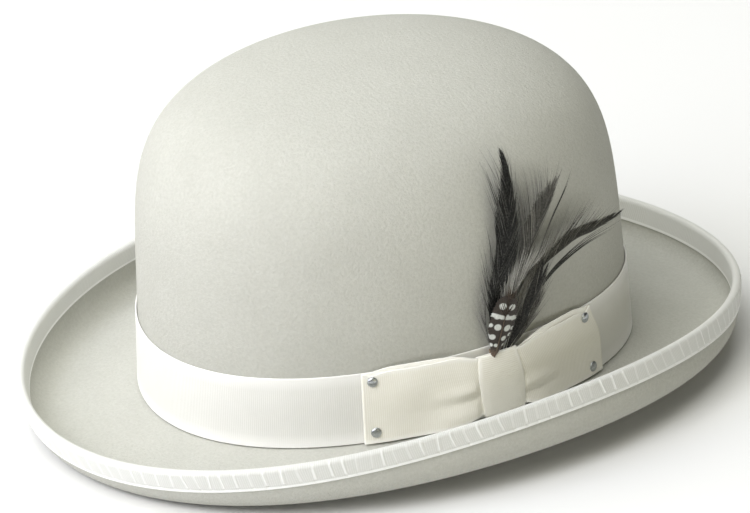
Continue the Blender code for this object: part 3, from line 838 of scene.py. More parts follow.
def make_knot():
    """The ring of ribbon round the bow's middle, its ribs running across the knot."""
    back, _, _, front = knot_layers()
    middle_off, radius = (back + front) / 2.0, (front - back) / 2.0
    straight_top, straight_bottom = KNOT_TOP - radius, KNOT_BOTTOM + radius
    drop = straight_top - straight_bottom
    share = np.linspace(0.0, 1.0, 112)
    bend = np.linspace(0.0, pi, 12)[1:-1]
    bulge = 0.0007 * np.sin(pi * share) ** 0.8
    rises = np.concatenate([
        straight_bottom + drop * share, straight_top + radius * np.sin(bend),
        straight_top - drop * share, straight_bottom - radius * np.sin(bend)])
    offs = np.concatenate([
        np.full(len(share), back), middle_off - radius * np.cos(bend),
        front + bulge, middle_off + radius * np.cos(bend)])
    v = ribbon_rows(KNOT_WIDTH, RIBBON_THICKNESS, 18)[:, None]
    part = (rises - KNOT_BOTTOM) / (KNOT_TOP - KNOT_BOTTOM)
    on_front = smooth((offs - middle_off) / radius)
    swell = 0.10 * np.sin(pi * np.clip(part, 0, 1)) - 0.06 * smooth((part - 0.6) / 0.4)
    wide = 1.0 + on_front * swell
    distance = (v - KNOT_WIDTH * 0.5) * wide + KNOT_SLANT * (0.5 - part)
    curve = -0.0007 * on_front * (2.0 * (v / KNOT_WIDTH - 0.5)) ** 4
    middle = beside_knot(distance, np.broadcast_to(rises, distance.shape), offs + curve)
    # Below its middle the knot's front has no ribs and, through the selvedge value, gets the painted
    # highlight.
    plain = 0.7 * on_front * (1.0 - smooth((part - 0.45) / 0.3))
    selvedge = np.maximum(selvedge_share(v, KNOT_WIDTH, 0.0013), plain)
    half = rounded(v, KNOT_WIDTH, RIBBON_THICKNESS)
    along = lengths_along(middle[len(v) // 2])
    normals = grid_normals(middle, True)
    piece = ribbon("knot_ribbon", middle, normals, half, along, selvedge, True)
    made = grosgrain_material("knot_grosgrain", (0.98, 0.962, 0.90), (0.78, 0.745, 0.65),
                              (1.0, 0.985, 0.93), 0.45)
    dress(piece, made, "bow_grosgrain", "hat", "bow_knot")


def turned(name, profile, turn, rise, stand_off):
    """A shape turned about the felt's outward direction. The profile lists (radius, height)."""
    steps = 56
    angles = np.arange(steps) * 2.0 * pi / steps
    up = outward(turn, break_height(turn) + rise)
    side = unit(np.cross([0.0, 0.0, 1.0], up))
    other = np.cross(up, side)
    ring = np.cos(angles)[:, None] * side + np.sin(angles)[:, None] * other
    centre = on_crown(turn, rise, stand_off)
    grid = np.array([centre + ring * radius + up * height for radius, height in profile])
    rows = [np.arange(steps) + k * steps for k in range(len(profile))]
    faces = []
    for low, high in zip(rows, rows[1:]):
        faces += quads(low, high, True)
    if profile[0] == profile[-1]:
        vertices = grid[:-1].reshape(-1, 3)
        faces = [tuple(v % len(vertices) for v in face) for face in faces]
    else:
        vertices = grid.reshape(-1, 3)
        faces += [tuple(rows[0][::-1].tolist()), tuple(rows[-1].tolist())]
    return new_piece(name, vertices, faces)


def make_rivets():
    """Each rivet's domed head with its shank, and the washer that it is closed on behind the bow."""
    steel = steel_material()
    r, h = RIVET_RADIUS, RIVET_HEIGHT
    hole, outer, edge, thick = SHANK_RADIUS + GAP, r * 0.9, WASHER_THICKNESS * 0.3, WASHER_THICKNESS
    ring = [(hole, 0.0), (outer - edge, 0.0), (outer, edge), (outer, thick - edge)]
    ring += [(outer - edge, thick), (hole, thick), (hole, 0.0)]
    arc = np.radians(np.linspace(0.0, 88.0, 15))
    for name, (turn, rise) in RIVETS.items():
        back, front = bow_layers(turn)
        seat = front + RIBBON_THICKNESS * 0.5 + GAP * 0.5 - 0.00015
        profile = [(SHANK_RADIUS, back - seat), (SHANK_RADIUS, 0.0), (r * 0.94, 0.0)]
        profile += [(r * cos(a), h * (0.1 + 0.9 * sin(a))) for a in arc]
        head = turned("rivet_head_" + name, profile, turn, rise, seat)
        dress(head, steel, "rivet_steel", "hat", "rivet_" + name)
        below = back - RIBBON_THICKNESS * 0.5 - GAP * 0.5 - WASHER_THICKNESS
        washer = turned("rivet_washer_" + name, ring, turn, rise, below)
        dress(washer, steel, "rivet_steel", "hat", "rivet_back_" + name)


# Feathers.


def strands(paths, widths, tones):
    """A group for `joined`: many thin closed barbs. paths is (barb, step, (distance, rise,
    stand-off)), widths each barb's width at its root, tones its shade from 0 to 1 at (root, tip)."""
    count, steps = paths.shape[:2]
    turns = turn_at(paths[..., 0])
    centre = beside_wall(turns, paths[..., 1], paths[..., 2])
    up = outward(turns, break_height(turns) + paths[..., 1])
    ahead = unit(np.gradient(centre, axis=1))
    side = unit(np.cross(ahead, up))
    t = np.linspace(0.0, 1.0, steps)
    taper = np.minimum(1.0, (1.0 - t) * 2.2) ** 0.8
    half = (0.5 * widths[:, None] * np.maximum(taper, 0.12))[..., None]
    high = np.broadcast_to(BARB_THICKNESS * np.maximum(taper, 0.3), (count, steps))[..., None]
    ring = np.stack([centre - side * half, centre + side * half, centre + up * high], 2)
    base = np.arange(count) * steps * 3
    last = base + 3 * (steps - 1)
    rows = []
    for k in range(steps - 1):
        low, high_row = base + 3 * k, base + 3 * (k + 1)
        rows += [(low + a, low + b, high_row + b, high_row + a) for a, b in ((0, 1), (1, 2), (2, 0))]
    rows += [(base + 2, base + 1, base), (last, last + 1, last + 2)]
    faces = []
    for corners in rows:
        faces += zip(*(corner.tolist() for corner in corners))
    tone = tones[:, :1] + (tones[:, 1:] - tones[:, :1]) * t
    return ring.reshape(-1, 3), faces, {"tone": np.repeat(tone.ravel(), 3)}


def barbs(path, count, side, start, end, angle, length, width, tone, bend=0.6, loose=0.1, mix=0.05,
          lift=0.0, follow=0.0):
    """Barbs along a quill from share `start` to `end`, on one side (-1 front, 1 rear). angle and
    length are lists of values from start to end. tone is (root, tip). bend is the share of the
    angle lost towards each barb's tip, loose how far the barbs differ in shape, and mix in shade.
    lift is how far their tips rise off the felt, and follow the share of the quill's own bend that
    they take on. They stand closer together towards the quill's base."""
    spaced = (np.arange(count) + rng.uniform(0.0, 1.0, count)) / count
    part = 1.0 - (1.0 - spaced) ** BARB_THINNING
    fine = len(path) - 1
    place = (start + (end - start) * part) * fine
    low = np.minimum(place.astype(int), fine - 1)
    root = path[low] + (path[low + 1] - path[low]) * (place - low)[:, None]
    wild = rng.normal(0.0, 1.0, (4, count)) * loose
    angles = np.radians(np.interp(part, np.linspace(0.0, 1.0, len(angle)), angle)) * (1.0 + wild[0])
    lengths = np.interp(part, np.linspace(0.0, 1.0, len(length)), length) * (1.0 + 0.8 * wild[1])
    reach = lengths / lengths_along(path[:, :2])[-1] * fine
    points = [root]
    for k in range(BARB_STEPS):
        t = (k + 0.5) / BARB_STEPS
        beside = np.clip(place + reach * t * follow, 0, fine - 1).astype(int)
        along = unit((path[beside + 1] - path[beside])[:, :2])
        lean = side * angles * (1.0 - bend * t) + wild[2] * 0.5 * t * t
        rearwards = along[:, 0] * np.cos(lean) + along[:, 1] * np.sin(lean)
        upwards = along[:, 1] * np.cos(lean) - along[:, 0] * np.sin(lean)
        outwards = lift * (1.0 + wild[3]) * 2.0 * t / BARB_STEPS
        step = lengths / BARB_STEPS
        points.append(points[-1] + np.stack([rearwards * step, upwards * step, outwards], -1))
    paths = np.stack(points, 1)
    paths[..., 2] += rng.uniform(-0.00035, 0.00035, count)[:, None]
    paths[..., 2] = np.maximum(paths[..., 2], 0.0006)
    tones = np.clip(np.array(tone)[None] + rng.normal(0.0, mix, (count, 1)), 0.0, 1.0)
    return strands(paths, width * rng.uniform(0.75, 1.25, count), tones)


def wisps(path, count, splay, width, tone):
    """Long loose barbs that follow one path, up to `splay` apart at its end."""
    t = np.linspace(0.0, 1.0, len(path))
    drift = rng.uniform(-0.5, 0.5, (count, 1, 2)) * splay * t[None, :, None]
    places = t[None] * rng.uniform(0.82, 1.0, (count, 1))
    lines = np.stack([np.interp(places, t, path[:, k]) for k in range(3)], -1)
    lines[..., :2] += drift
    tones = np.clip(np.array(tone)[None] + rng.normal(0.0, 0.03, (count, 1)), 0.0, 1.0)
    return strands(lines, width * rng.uniform(0.8, 1.2, count), tones)


def quill(path, start_width, end_width, tone):
    """A group for `joined`: the quill itself, a tapering rod."""
    turns = turn_at(path[:, 0])
    centre = beside_wall(turns, path[:, 1], path[:, 2])
    up = outward(turns, break_height(turns) + path[:, 1])
    side = unit(np.cross(unit(np.gradient(centre, axis=0)), up))
    radius = 0.5 * np.linspace(start_width, end_width, len(path))
    vertices, faces = rod(centre, side, up, radius, 10)
    return vertices, faces, {"tone": np.full(len(vertices), tone)}


def mm(*points):
    """A path through points given in millimetres, as (distance, rise, stand-off)."""
    return spline(np.array(points) / 1000.0, 60)


def make_tall_hackle():
    path = mm((0.2, 27.0, 3.6), (-0.4, 40.0, 4.2), (1.0, 54.0, 4.8), (4.8, 65.5, 5.7),
              (7.6, 76.2, 6.9), (10.4, 86.8, 8.1), (13.5, 96.6, 9.2), (15.3, 101.4, 9.8))
    vane = {"width": 0.00046, "tone": (0.02, 0.06), "bend": 0.55, "loose": 0.08, "follow": 0.8}
    vane["length"] = (0.018, 0.021, 0.019, 0.014, 0.009, 0.0055)
    groups = [
        quill(path, 0.0008, 0.0002, 0.2),
        barbs(path, 360, -1, 0.06, 1.0, (12, 10, 18, 17, 11, 1), **vane),
        barbs(path, 360, 1, 0.06, 1.0, (9, 25, 21, 16, 10, 1), **vane),
        barbs(path, 60, -1, 0.10, 0.80, (14, 18, 18), (0.024, 0.025, 0.018),
              0.00020, (0.2, 0.5), 0.5, 0.20, 0.15),
        barbs(path, 7, -1, 0.50, 0.60, (18, 20), (0.029, 0.026),
              0.00024, (0.2, 0.45), 0.3, 0.10, 0.1),
        barbs(path, 60, 1, 0.12, 0.95, (20, 23, 10), (0.024, 0.022, 0.009),
              0.00022, (0.25, 0.6), 0.5, 0.20, 0.15)]
    hackle = joined("tall_hackle_barbs", groups)
    made = feather_material("black_feather", (0.006, 0.006, 0.006), (0.25, 0.25, 0.23), 0.0)
    dress(hackle, made, "black_feather", "feather_mount", "tall_hackle")


def make_grey_hackle():
    path = mm((2.4, 27.0, 2.8), (5.5, 38.0, 3.2), (9.2, 48.0, 3.7), (13.6, 57.5, 4.3),
              (17.0, 66.3, 5.7), (21.6, 75.0, 7.2), (27.4, 82.6, 8.4), (31.6, 86.4, 9.0))
    streak = mm((22.0, 62.0, 4.6), (31.0, 76.5, 7.0), (45.0, 91.0, 9.8))
    vane = {"angle": (9, 14, 15, 11, 1), "length": (0.016, 0.018, 0.016, 0.011, 0.0065),
            "width": 0.00036, "tone": (0.22, 0.30), "bend": 0.5, "loose": 0.08, "mix": 0.04,
            "follow": 1.0}
    groups = [
        quill(path, 0.0007, 0.0002, 0.4),
        barbs(path, 250, -1, 0.30, 1.0, **vane),
        barbs(path, 250, 1, 0.30, 1.0, **vane),
        barbs(path, 80, -1, 0.34, 0.90, (12, 15, 12), (0.032, 0.028, 0.014),
              0.00020, (0.25, 0.60), 0.15, 0.13, 0.2),
        barbs(path, 22, 1, 0.45, 0.80, (21, 18), (0.026, 0.022),
              0.00018, (0.40, 0.8), 0.2, 0.12, 0.2),
        barbs(path, 26, 1, 0.78, 1.0, (5, 1), (0.0150, 0.0125),
              0.00018, (0.35, 0.65), -0.4, 0.3, 0.15, 0.001),
        wisps(streak, 5, 0.0010, 0.00058, (0.30, 0.0))]
    hackle = joined("grey_hackle_barbs", groups)
    made = feather_material("grey_feather", (0.012, 0.012, 0.011), (0.33, 0.32, 0.29), 0.0)
    dress(hackle, made, "grey_feather", "feather_mount", "grey_hackle")


def make_side_hackle():
    path = mm((3.4, 27.5, 3.4), (9.0, 40.0, 3.9), (15.0, 50.5, 4.8), (21.5, 57.0, 5.9),
              (29.5, 61.4, 7.4), (39.0, 64.9, 9.0), (50.0, 65.6, 10.7), (63.0, 66.0, 12.2))
    upper = mm((10.0, 47.0, 4.2), (18.0, 56.5, 5.0), (31.0, 64.0, 6.9), (50.0, 78.0, 11.2))
    lower = mm((10.0, 37.0, 3.7), (22.0, 48.0, 3.9), (32.0, 55.5, 5.6), (46.0, 61.0, 8.6),
               (68.0, 62.0, 11.4))
    groups = [quill(path, 0.0006, 0.0002, 0.3)]
    for side in (-1, 1):
        groups += [
            barbs(path, 230, side, 0.41, 1.0, (9, 12, 12, 9, 2), (0.014, 0.013, 0.012, 0.009, 0.006),
                  0.00034, (0.12, 0.18), 0.5, 0.07, 0.04, follow=1.0),
            barbs(path, 26, side, 0.10, 0.44, (5, 4), (0.026, 0.020),
                  0.00022, (0.45, 0.95), 0.5, 0.3, 0.25)]
    groups += [
        barbs(path, 60, -1, 0.36, 0.92, (17, 16, 9), (0.024, 0.020, 0.013),
              0.00018, (0.3, 0.75), 0.4, 0.16, 0.2),
        wisps(upper, 6, 0.0022, 0.00056, (0.45, 0.0)),
        barbs(path, 50, 1, 0.34, 0.94, (13, 11, 8), (0.032, 0.022, 0.012),
              0.00018, (0.3, 0.7), 0.5, 0.16, 0.2),
        wisps(lower, 9, 0.0032, 0.00050, (0.12, 0.04))]
    hackle = joined("side_hackle_barbs", groups)
    made = feather_material("dark_grey_feather", (0.009, 0.009, 0.008), (0.30, 0.29, 0.25), 0.0)
    dress(hackle, made, "black_feather", "feather_mount", "side_hackle")


def make_short_hackle():
    path = mm((3.4, 27.0, 4.2), (8.0, 33.6, 4.9), (12.8, 41.0, 5.7), (17.6, 48.6, 6.5),
              (20.0, 52.5, 6.9))
    vane = {"angle": (12, 14, 10), "length": (0.014, 0.015, 0.008), "width": 0.00042,
            "tone": (0.02, 0.08), "bend": 0.6, "loose": 0.08, "mix": 0.05}
    groups = [
        quill(path, 0.0006, 0.0002, 0.15),
        barbs(path, 190, -1, 0.02, 1.0, **vane),
        barbs(path, 190, 1, 0.02, 1.0, **vane),
        barbs(path, 26, -1, 0.0, 0.8, (13, 13, 9), (0.022, 0.020, 0.014),
              0.00020, (0.35, 0.95), 0.3, 0.15, 0.3),
        barbs(path, 24, 1, 0.0, 0.8, (13, 12, 8), (0.022, 0.020, 0.012),
              0.00020, (0.4, 0.8), 0.4, 0.2, 0.2)]
    hackle = joined("short_hackle_barbs", groups)
    made = feather_material("short_black_feather", (0.006, 0.006, 0.006), (0.30, 0.29, 0.26), 0.0)
    dress(hackle, made, "black_feather", "feather_mount", "short_hackle")


def make_fluff():
    """Loose pale and tan wisps that fan out from the mount's base, between and beside the feathers."""
    middle = mm((1.6, 29.0, 4.6), (3.8, 41.0, 5.2), (8.4, 51.0, 5.8), (15.0, 57.5, 6.4),
                (22.0, 61.0, 7.0))
    low = mm((6.4, 27.0, 3.0), (12.4, 32.5, 3.7), (18.0, 40.5, 4.8), (21.5, 49.0, 6.0))
    left = mm((-1.8, 28.0, 2.8), (-3.6, 35.0, 3.4), (-4.2, 43.0, 3.9), (-3.6, 55.0, 4.3))
    groups = [
        barbs(middle, 90, -1, 0.10, 0.80, (6, 8, 7), (0.019, 0.018, 0.013),
              0.00022, (0.20, 0.70), 0.4, 0.2, 0.38),
        barbs(middle, 90, 1, 0.10, 0.80, (8, 9, 7), (0.022, 0.018, 0.011),
              0.00022, (0.20, 0.75), 0.4, 0.2, 0.38),
        barbs(low, 46, 1, 0.0, 0.95, (3, 4, 3), (0.020, 0.018, 0.012),
              0.00022, (0.20, 0.55), 0.3, 0.4, 0.15),
        barbs(low, 40, -1, 0.0, 0.95, (6, 6, 4), (0.020, 0.018, 0.012),
              0.00024, (0.10, 0.4), 0.3, 0.4, 0.15),
        barbs(left, 20, -1, 0.0, 0.9, (5, 4, 2), (0.017, 0.015, 0.013),
              0.00014, (0.35, 0.60), 0.2, 0.35, 0.15),
        barbs(left, 26, 1, 0.0, 0.9, (6, 4, 3), (0.018, 0.016, 0.014),
              0.00018, (0.10, 0.45), 0.3, 0.35, 0.15)]
    tuft = joined("fluff_wisps", groups)
    made = feather_material("pale_fluff", (0.030, 0.027, 0.024), (0.60, 0.595, 0.56))
    dress(tuft, made, "pale_fluff", "feather_mount", "fluff_tuft")


def guinea_spots(along, across):
    """Where the vane is white, from 0 to 1: round dots and a wavy bar. along is taken from the
    quill's root and across from the quill, both in millimetres."""
    # Each dot's place along and across the vane, and its radius, in millimetres.
    dots = [
        (20.9, -2.1, 1.45), (20.6, 2.2, 1.45), (12.2, -2.0, 1.45), (11.8, 2.3, 1.5),
        (12.6, -5.0, 0.9), (11.4, 5.0, 0.9), (7.9, -3.2, 1.25), (7.6, 1.7, 1.1), (8.8, 4.2, 0.8),
        (8.2, -5.0, 0.8), (4.4, -2.9, 0.9), (4.7, -0.9, 0.8), (4.8, 2.4, 0.7), (16.4, -3.4, 1.15),
        (16.4, -1.3, 0.9), (16.7, 0.6, 1.15), (16.1, 2.4, 0.9), (15.9, 4.0, 1.2)]
    white = np.zeros(np.broadcast(along, across).shape)
    for place, side, radius in dots:
        away = np.hypot((along - place) / 0.88, across - side)
        white = np.maximum(white, 1.0 - smooth((away - radius + 0.15) / 0.35))
    bar = np.abs(along - 16.35 + 0.10 * across) - 0.75
    return np.maximum(white, 1.0 - smooth((bar + 0.1) / 0.3))


def guinea_outline(share, across):
    """How far the vane reaches from its quill, at shares of its length and from -1 to 1 across it.
    It widens up to its middle, has a round tip, and its edge is a little ragged."""
    half = 0.0053 * np.clip(0.10 + share * 2.0, 0.0, 1.0) ** 0.9
    round_tip = np.clip(1.0 - np.maximum(share - 0.74, 0.0) ** 2 / 0.072, 0.0, 1.0)
    half = half * np.sqrt(round_tip) + 0.00025
    ragged = 0.05 * rng.normal(0.0, 1.0, (len(share), 2))
    edge = np.where(across < 0.0, ragged[:, :1], ragged[:, 1:])
    return half[:, None] * across * (1.0 + edge * np.abs(across) ** 6)


def make_guinea():
    """The spotted feather in front: a close vane, its edge cut by the ends of its barbs."""
    path = mm((-3.0, 27.2, 6.4), (-1.0, 33.0, 7.0), (1.2, 40.5, 7.8), (3.2, 47.0, 8.5),
              (4.6, 51.2, 9.0))
    length = lengths_along(path)
    share = np.linspace(0.0, 1.0, 130)
    across = np.linspace(-1.0, 1.0, 49)[None]
    spine = np.stack([np.interp(share * length[-1], length, path[:, k]) for k in range(3)], -1)
    ahead = unit(np.gradient(spine[:, :2], axis=0))
    side = np.stack([ahead[:, 1], -ahead[:, 0]], -1)
    reach = guinea_outline(share, across)
    plan = spine[:, None, :2] + side[:, None] * reach[..., None]
    stand_off = spine[:, None, 2] - 0.0011 * across**2 - 0.00035 * bell(across, 0.06)
    turns = turn_at(plan[..., 0])
    middle = on_crown(turns, plan[..., 1], stand_off)
    up = outward(turns, break_height(turns) + plan[..., 1])
    thick = 0.00011 * (1.0 - 0.6 * np.abs(across) ** 4)[..., None]
    along_mm, across_mm = share[:, None] * length[-1] * 1000.0, reach * 1000.0
    values = {
        "spot": guinea_spots(along_mm - np.abs(across_mm) * 0.10, across_mm),
        "base": (1.0 - smooth((along_mm - 0.5) / 3.5)) * bell(across_mm, 2.6),
        "barb": along_mm / 1000.0 - np.abs(reach) * 0.55,
    }
    vane = slab("guinea_vane", middle + up * thick, middle - up * thick, False, values)
    dress(vane, guinea_material(), "spotted_feather", "feather_mount", "guinea_feather")
    shaft = spline(path, 40)
    shaft[:, 2] += 0.00012
    groups = [quill(shaft, 0.0005, 0.0002, 0.4)]
    for edge in (-1, 1):
        groups.append(barbs(path, 46, edge, 0.6, 1.0, (40, 14), (0.0062, 0.0050),
                            0.0003, (0.03, 0.20), 0.5, 0.2))
    fringe = joined("guinea_fringe", groups)
    made = feather_material("guinea_fringe", (0.020, 0.014, 0.011), (0.26, 0.20, 0.15))
    dress(fringe, made, "spotted_feather", "feather_mount")


def make_quill_bundle():
    """The quills' ends in the pocket, side by side and wound with thread."""
    count, pitch = 6, 0.0009
    bottom, middle, top = 0.0065, 0.018, 0.0290
    offs = GAP + BAND_THICKNESS + GAP + POCKET_DEPTH * 0.5 - 0.0001
    groups = []
    for k in range(count):
        across = (k - (count - 1) / 2.0) * pitch
        path = [(across * 0.8, bottom, offs), (across, middle, offs)]
        path.append((across * 1.1, top, offs + 0.0003))
        groups.append(quill(spline(path, 16), 0.0009, 0.0008, 0.55))
    bundle = joined("quill_ends", groups)
    horn = feather_material("quill_horn", (0.10, 0.065, 0.038), (0.46, 0.36, 0.24))
    dress(bundle, horn, "quill_thread", "feather_mount", "quill_binding")
    rounds, steps_per_round = 26, 18
    angles = np.linspace(0.0, 2.0 * pi * rounds, rounds * steps_per_round)
    rise = 0.0095 + 0.013 * angles / angles[-1]
    line = beside_knot(0.0031 * np.cos(angles), rise, offs + 0.00062 * np.sin(angles))
    thread = joined("quill_winding", [cord(line, 0.00022, 6)])
    made = plastic_material("quill_thread", (0.16, 0.11, 0.07), (0.26, 0.19, 0.12))
    dress(thread, made, "quill_thread", "feather_mount")


# Inside the crown.


def inside_ribbon(name, section, thickness):
    """A strip round the inside of the head opening, its section given as (rise, stand-off)."""
    seam, count = 0.1, 721
    turns = np.linspace(BACK_SEAM + seam, BACK_SEAM + 360.0 - seam, count)
    section = np.asarray(section, float)[:, :, None]
    rises, offs = (np.broadcast_to(section[:, k], (len(section), count)) for k in range(2))
    middle = on_crown(turns, rises, offs)
    normals = grid_normals(middle, False)
    return slab(name, middle + normals * thickness * 0.5, middle - normals * thickness * 0.5, False)


def make_sweatband():
    """A leather strip whose lower edge turns round a cord and is stitched behind it."""
    radius = REED_RADIUS + GAP + SWEATBAND_THICKNESS * 0.5
    outer = -(FELT_THICKNESS + GAP + SWEATBAND_THICKNESS * 0.5)
    centre, inner = outer - radius, outer - 2.0 * radius
    rises = np.linspace(SWEATBAND_HEIGHT, REED_RISE, 22)
    part = (rises - REED_RISE) / (SWEATBAND_HEIGHT - REED_RISE)
    offs = inner + SWEATBAND_LEAN * smooth(part * 1.4) + 0.00025 * bell(rises - STITCH_RISE, 0.0006)
    section = list(zip(rises, offs))
    bend = np.linspace(pi, 0.0, 14)[1:-1]
    section += [(REED_RISE - radius * sin(a), centre + radius * cos(a)) for a in bend]
    section += [(rise, outer) for rise in np.linspace(REED_RISE, TURNED_EDGE, 6)]
    strip = inside_ribbon("sweatband_strip", section[::-1], SWEATBAND_THICKNESS)
    dress(strip, leather_material(), "sweatband_leather", "hat", "sweatband")
    turns = np.linspace(BACK_SEAM + 0.3, BACK_SEAM + 359.7, 721)
    reed_off = -(FELT_THICKNESS + GAP + SWEATBAND_THICKNESS + GAP + REED_RADIUS)
    line = on_crown(turns, REED_RISE, np.full(len(turns), reed_off))
    reed = joined("sweatband_cord", [cord(line, REED_RADIUS, 12)])
    plastic = plastic_material("reed_plastic", (0.72, 0.70, 0.62), (0.80, 0.78, 0.71))
    dress(reed, plastic, "reed_plastic", "hat", "sweatband_reed")
    make_stitches(inner - SWEATBAND_THICKNESS * 0.5)


def make_stitches(surface):
    """The stitches on the sweatband's inner surface, above its cord."""
    half_length, pitch, steps = 0.62, 1.72, 7
    arch = 0.00016 * np.sin(np.linspace(0.0, pi, steps))
    radius = 0.00018 * np.sqrt(np.maximum(1.0 - np.linspace(-1.0, 1.0, steps) ** 4, 0.06))
    groups = []
    for turn in np.arange(BACK_SEAM + 1.0, BACK_SEAM + 359.0, pitch):
        turns = np.linspace(turn - half_length, turn + half_length, steps)
        line = on_crown(turns, STITCH_RISE, surface - arch - 0.00008)
        groups.append(cord(line, radius, 6))
    stitches = joined("sweatband_stitches", groups)
    thread = woven_material("stitch_thread", (0.66, 0.55, 0.40), (0.42, 0.33, 0.22), 0.0004)
    dress(stitches, thread, "cotton_tape", "hat")


def patch(name, turn, half_width, low, high, stand_off, thickness, waist=1.0, puff=0.0):
    """A small flat piece inside the crown. waist is its middle's height as a share of its ends',
    and puff the depth of the folds that spread from there."""
    across = np.linspace(-1.0, 1.0, 41)
    up = np.linspace(-1.0, 1.0, 21)[:, None]
    narrow = waist + (1.0 - waist) * smooth(np.abs(across))
    rise = (low + high) / 2.0 + (high - low) / 2.0 * narrow * up
    turns = turn + np.degrees(across * half_width / HEAD_HALF_LENGTH)
    folds = puff * (np.cos(up * 7.0 * (1.2 - np.abs(across))) - 1.0) * (1.0 - np.abs(across) ** 6)
    middle = on_crown(turns, rise, stand_off + folds)
    offset = grid_normals(middle, False) * thickness * 0.5
    return slab(name, middle + offset, middle - offset, False)


def make_trim():
    """The tape, the blank label and the small bow at the sweatband's seam."""
    behind = -(FELT_THICKNESS + LINING_GAP + LINING_THICKNESS + 0.0006)
    tape = patch("seam_tape", BACK_SEAM, 0.005, 0.010, 0.032, behind, 0.0002)
    cotton = woven_material("cotton_tape", (0.70, 0.68, 0.62), (0.52, 0.50, 0.44), 0.0006, 0.8)
    dress(tape, cotton, "cotton_tape", "hat", "sweatband_seam_tape")
    label = patch("blank_size_label", BACK_SEAM + 24.0, 0.010, 0.012, 0.026, behind, 0.0002)
    paper = woven_material("paper", (0.80, 0.78, 0.70), (0.72, 0.69, 0.60), 0.0011, 0.85, 0.0)
    dress(label, paper, "paper", "hat", "size_label")
    inside = -(FELT_THICKNESS + 2.0 * (SWEATBAND_THICKNESS + REED_RADIUS) + 4.0 * GAP + 0.0008)
    bow = patch("seam_bow", BACK_SEAM, 0.012, 0.020, 0.029, inside, 0.0004, 0.45, 0.00025)
    satin = woven_material("bow_satin", (0.62, 0.59, 0.52), (0.50, 0.47, 0.40), 0.0005, 0.4, 0.3)
    dress(bow, satin, "cotton_tape", "hat", "sweatband_bow")


def lining_cap(name, start, stand_off):
    """The top of the lining or its film, from this angle of the dome's section up."""
    turns = np.arange(0.0, 360.0, 2.0)
    angles = np.linspace(radians(start), radians(88.0), 30)
    heights = (CROWN_HEIGHT * np.sin(angles) ** (2.0 / SHOULDER_POWER))[:, None]
    grid = crown_at(turns, heights) + outward(turns, heights) * stand_off
    tip = crown_at(0.0, CROWN_HEIGHT) + np.array([0.0, 0.0, stand_off])
    return thicken(sheet(name, grid, tip=tip), LINING_THICKNESS * 0.7)


def make_lining():
    """The lining's wall, gathered into small folds at the top, its tip and the film under it."""
    gap = FELT_THICKNESS + LINING_GAP + LINING_THICKNESS * 0.15
    turns = np.arange(360.0)
    shares = np.linspace(0.0, 1.0, 34)[:, None]
    low = break_height(turns) + LINING_START
    high = break_height(turns) * (1.0 - LINING_SEAM) + CROWN_HEIGHT * LINING_SEAM
    heights = low + (high - low) * shares
    around = np.radians(turns)
    folds = 0.00022 * (1.0 + np.cos(around * 60.0 + 0.5 * np.sin(around * 7.0)))
    depth = gap + folds * smooth((shares - 0.35) / 0.6)
    grid = crown_at(turns, heights) - outward(turns, heights) * depth[..., None]
    satin = woven_material("lining_satin", (0.62, 0.60, 0.55), (0.50, 0.48, 0.43), 0.0005, 0.38, 0.35)
    wall = thicken(sheet("lining_wall", grid), LINING_THICKNESS * 0.7)
    dress(wall, satin, "lining_satin", "hat", "lining_side")
    tip = lining_cap("lining_crown_tip", 30.0, -gap)
    dress(tip, satin, "lining_satin", "hat", "lining_tip")
    film = lining_cap("tip_film", 52.0, -gap - LINING_THICKNESS - GAP)
    dress(film, film_material(), "clear_film", "hat", "lining_tip_shield")


# Floor, lights and camera.

CAMERA_AZIMUTH = 54.782
CAMERA_ELEVATION = 24.318
CAMERA_ROLL = -3.03
CAMERA_DISTANCE = 5.997
FRAME_WIDTH = 0.29516  # how much of the hat's plane the picture spans
TARGET = Vector((0.0, 0.0, 0.045))
TARGET_SHIFT = (0.00178, 0.005898)  # the target's place right of and above the picture's middle

LIGHT_DISTANCE = 2.0
LIGHT_SIZE = 1.4
# Each light's direction to the camera's left and up, in degrees, its power and its colour.
LIGHTS = {
    "left": (90.0, 20.0, 14.0, (1.06, 1.03, 0.90)),
    "key": (60.0, 34.0, 15.0, (0.93, 0.97, 1.22)),
    "front": (33.0, 46.0, 22.5, (1.04, 1.02, 0.92)),
    "right": (-38.0, 14.0, 5.0, (1.04, 1.00, 0.70)),
    "overhead": (0.0, 85.0, 13.5, (0.98, 1.00, 0.98)),
    "rear_left": (112.0, 58.0, 11.0, (0.98, 1.00, 1.03)),
    "rear": (180.0, 40.0, 10.5, (1.00, 1.00, 0.92)),
}

FLOOR_HALF_WIDTH = 40.0
FLOOR_GAP = 0.0004  # under the hat's lowest point
FLOOR_GLOW = (0.5, 2.4, 0.02, 0.8)  # two distances from the hat, and its strength at each
ROOM_COLOUR = (1.0, 0.99, 0.88, 1.0)
ROOM_LIGHT = 0.05


def camera_directions():
    """The camera's right, up and back directions."""
    azimuth, elevation = radians(CAMERA_AZIMUTH), radians(CAMERA_ELEVATION)
    back = Vector((sin(azimuth) * cos(elevation), -cos(azimuth) * cos(elevation), sin(elevation)))
    right = Vector((cos(azimuth), sin(azimuth), 0.0))
    up = back.cross(right)
    turn = radians(CAMERA_ROLL)
    return right * cos(turn) + up * sin(turn), up * cos(turn) - right * sin(turn), back


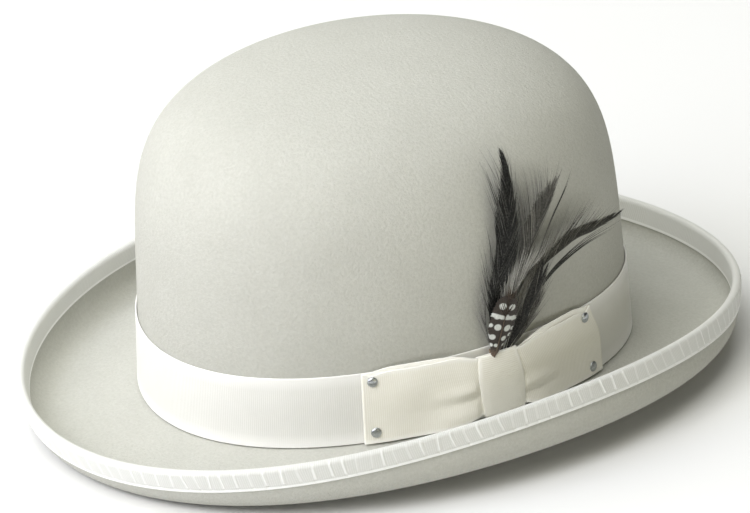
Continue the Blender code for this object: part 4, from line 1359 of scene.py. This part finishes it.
def make_camera():
    right, up, back = camera_directions()
    data = bpy.data.cameras.new("camera")
    data.sensor_width = 36.0
    data.lens = data.sensor_width * CAMERA_DISTANCE / FRAME_WIDTH
    data.clip_end = 200.0
    camera = new_object("camera", data)
    place = TARGET - right * TARGET_SHIFT[0] - up * TARGET_SHIFT[1] + back * CAMERA_DISTANCE
    axes = Matrix((right, up, back)).transposed().to_4x4()
    camera.matrix_world = Matrix.Translation(place) @ axes
    bpy.context.scene.camera = camera


def make_light(name, around, elevation, power, colour):
    """A soft square light. around is its direction from the hat, in degrees to the camera's left."""
    turn = radians(CAMERA_AZIMUTH - around)
    rise = radians(elevation)
    direction = Vector((sin(turn) * cos(rise), -cos(turn) * cos(rise), sin(rise)))
    data = bpy.data.lights.new(name, "AREA")
    data.size = LIGHT_SIZE
    data.energy = power
    data.color = colour
    light = new_object(name, data)
    light.location = TARGET + direction * LIGHT_DISTANCE
    light.rotation_mode = "QUATERNION"
    light.rotation_quaternion = direction.to_track_quat("Z", "Y")
    light.visible_camera = False


def make_stage():
    side = FLOOR_HALF_WIDTH
    corners = [(-side, -side, 0.0), (side, -side, 0.0), (side, side, 0.0), (-side, side, 0.0)]
    floor = new_piece("floor", corners, [(0, 1, 2, 3)])
    floor.location.z = CAD_BOUNDS[0][2] - FLOOR_GAP
    made, tree, shader = material("floor", 0.9, Emission_Color=(1.0, 1.0, 1.0, 1.0))
    shade = blend(tree, noise(tree, 3.0, 2.0), (0.80, 0.80, 0.80), (0.82, 0.82, 0.82))
    # Past the pool of light the floor glows, so that it stays pale as far as it is seen.
    place = node(tree, "TexCoord").outputs["Object"]
    away = node(tree, "VectorMath", {0: place}, operation="LENGTH").outputs["Value"]
    feed(tree, shader, Base_Color=shade, Emission_Strength=spread(tree, away, *FLOOR_GLOW))
    floor.data.materials.append(made)
    for name, settings in LIGHTS.items():
        make_light(name, *settings)
    world = bpy.data.worlds.new("studio")
    world.use_nodes = True
    background = world.node_tree.nodes["Background"]
    background.inputs["Color"].default_value = ROOM_COLOUR
    background.inputs["Strength"].default_value = ROOM_LIGHT
    bpy.context.scene.world = world
    bpy.context.scene.view_settings.view_transform = "Standard"


make_felt()
make_binding()
make_band()
make_bow()
make_knot()
make_rivets()
make_sweatband()
make_trim()
make_lining()
make_tall_hackle()
make_grey_hackle()
make_side_hackle()
make_short_hackle()
make_fluff()
make_guinea()
make_quill_bundle()
make_camera()
make_stage()
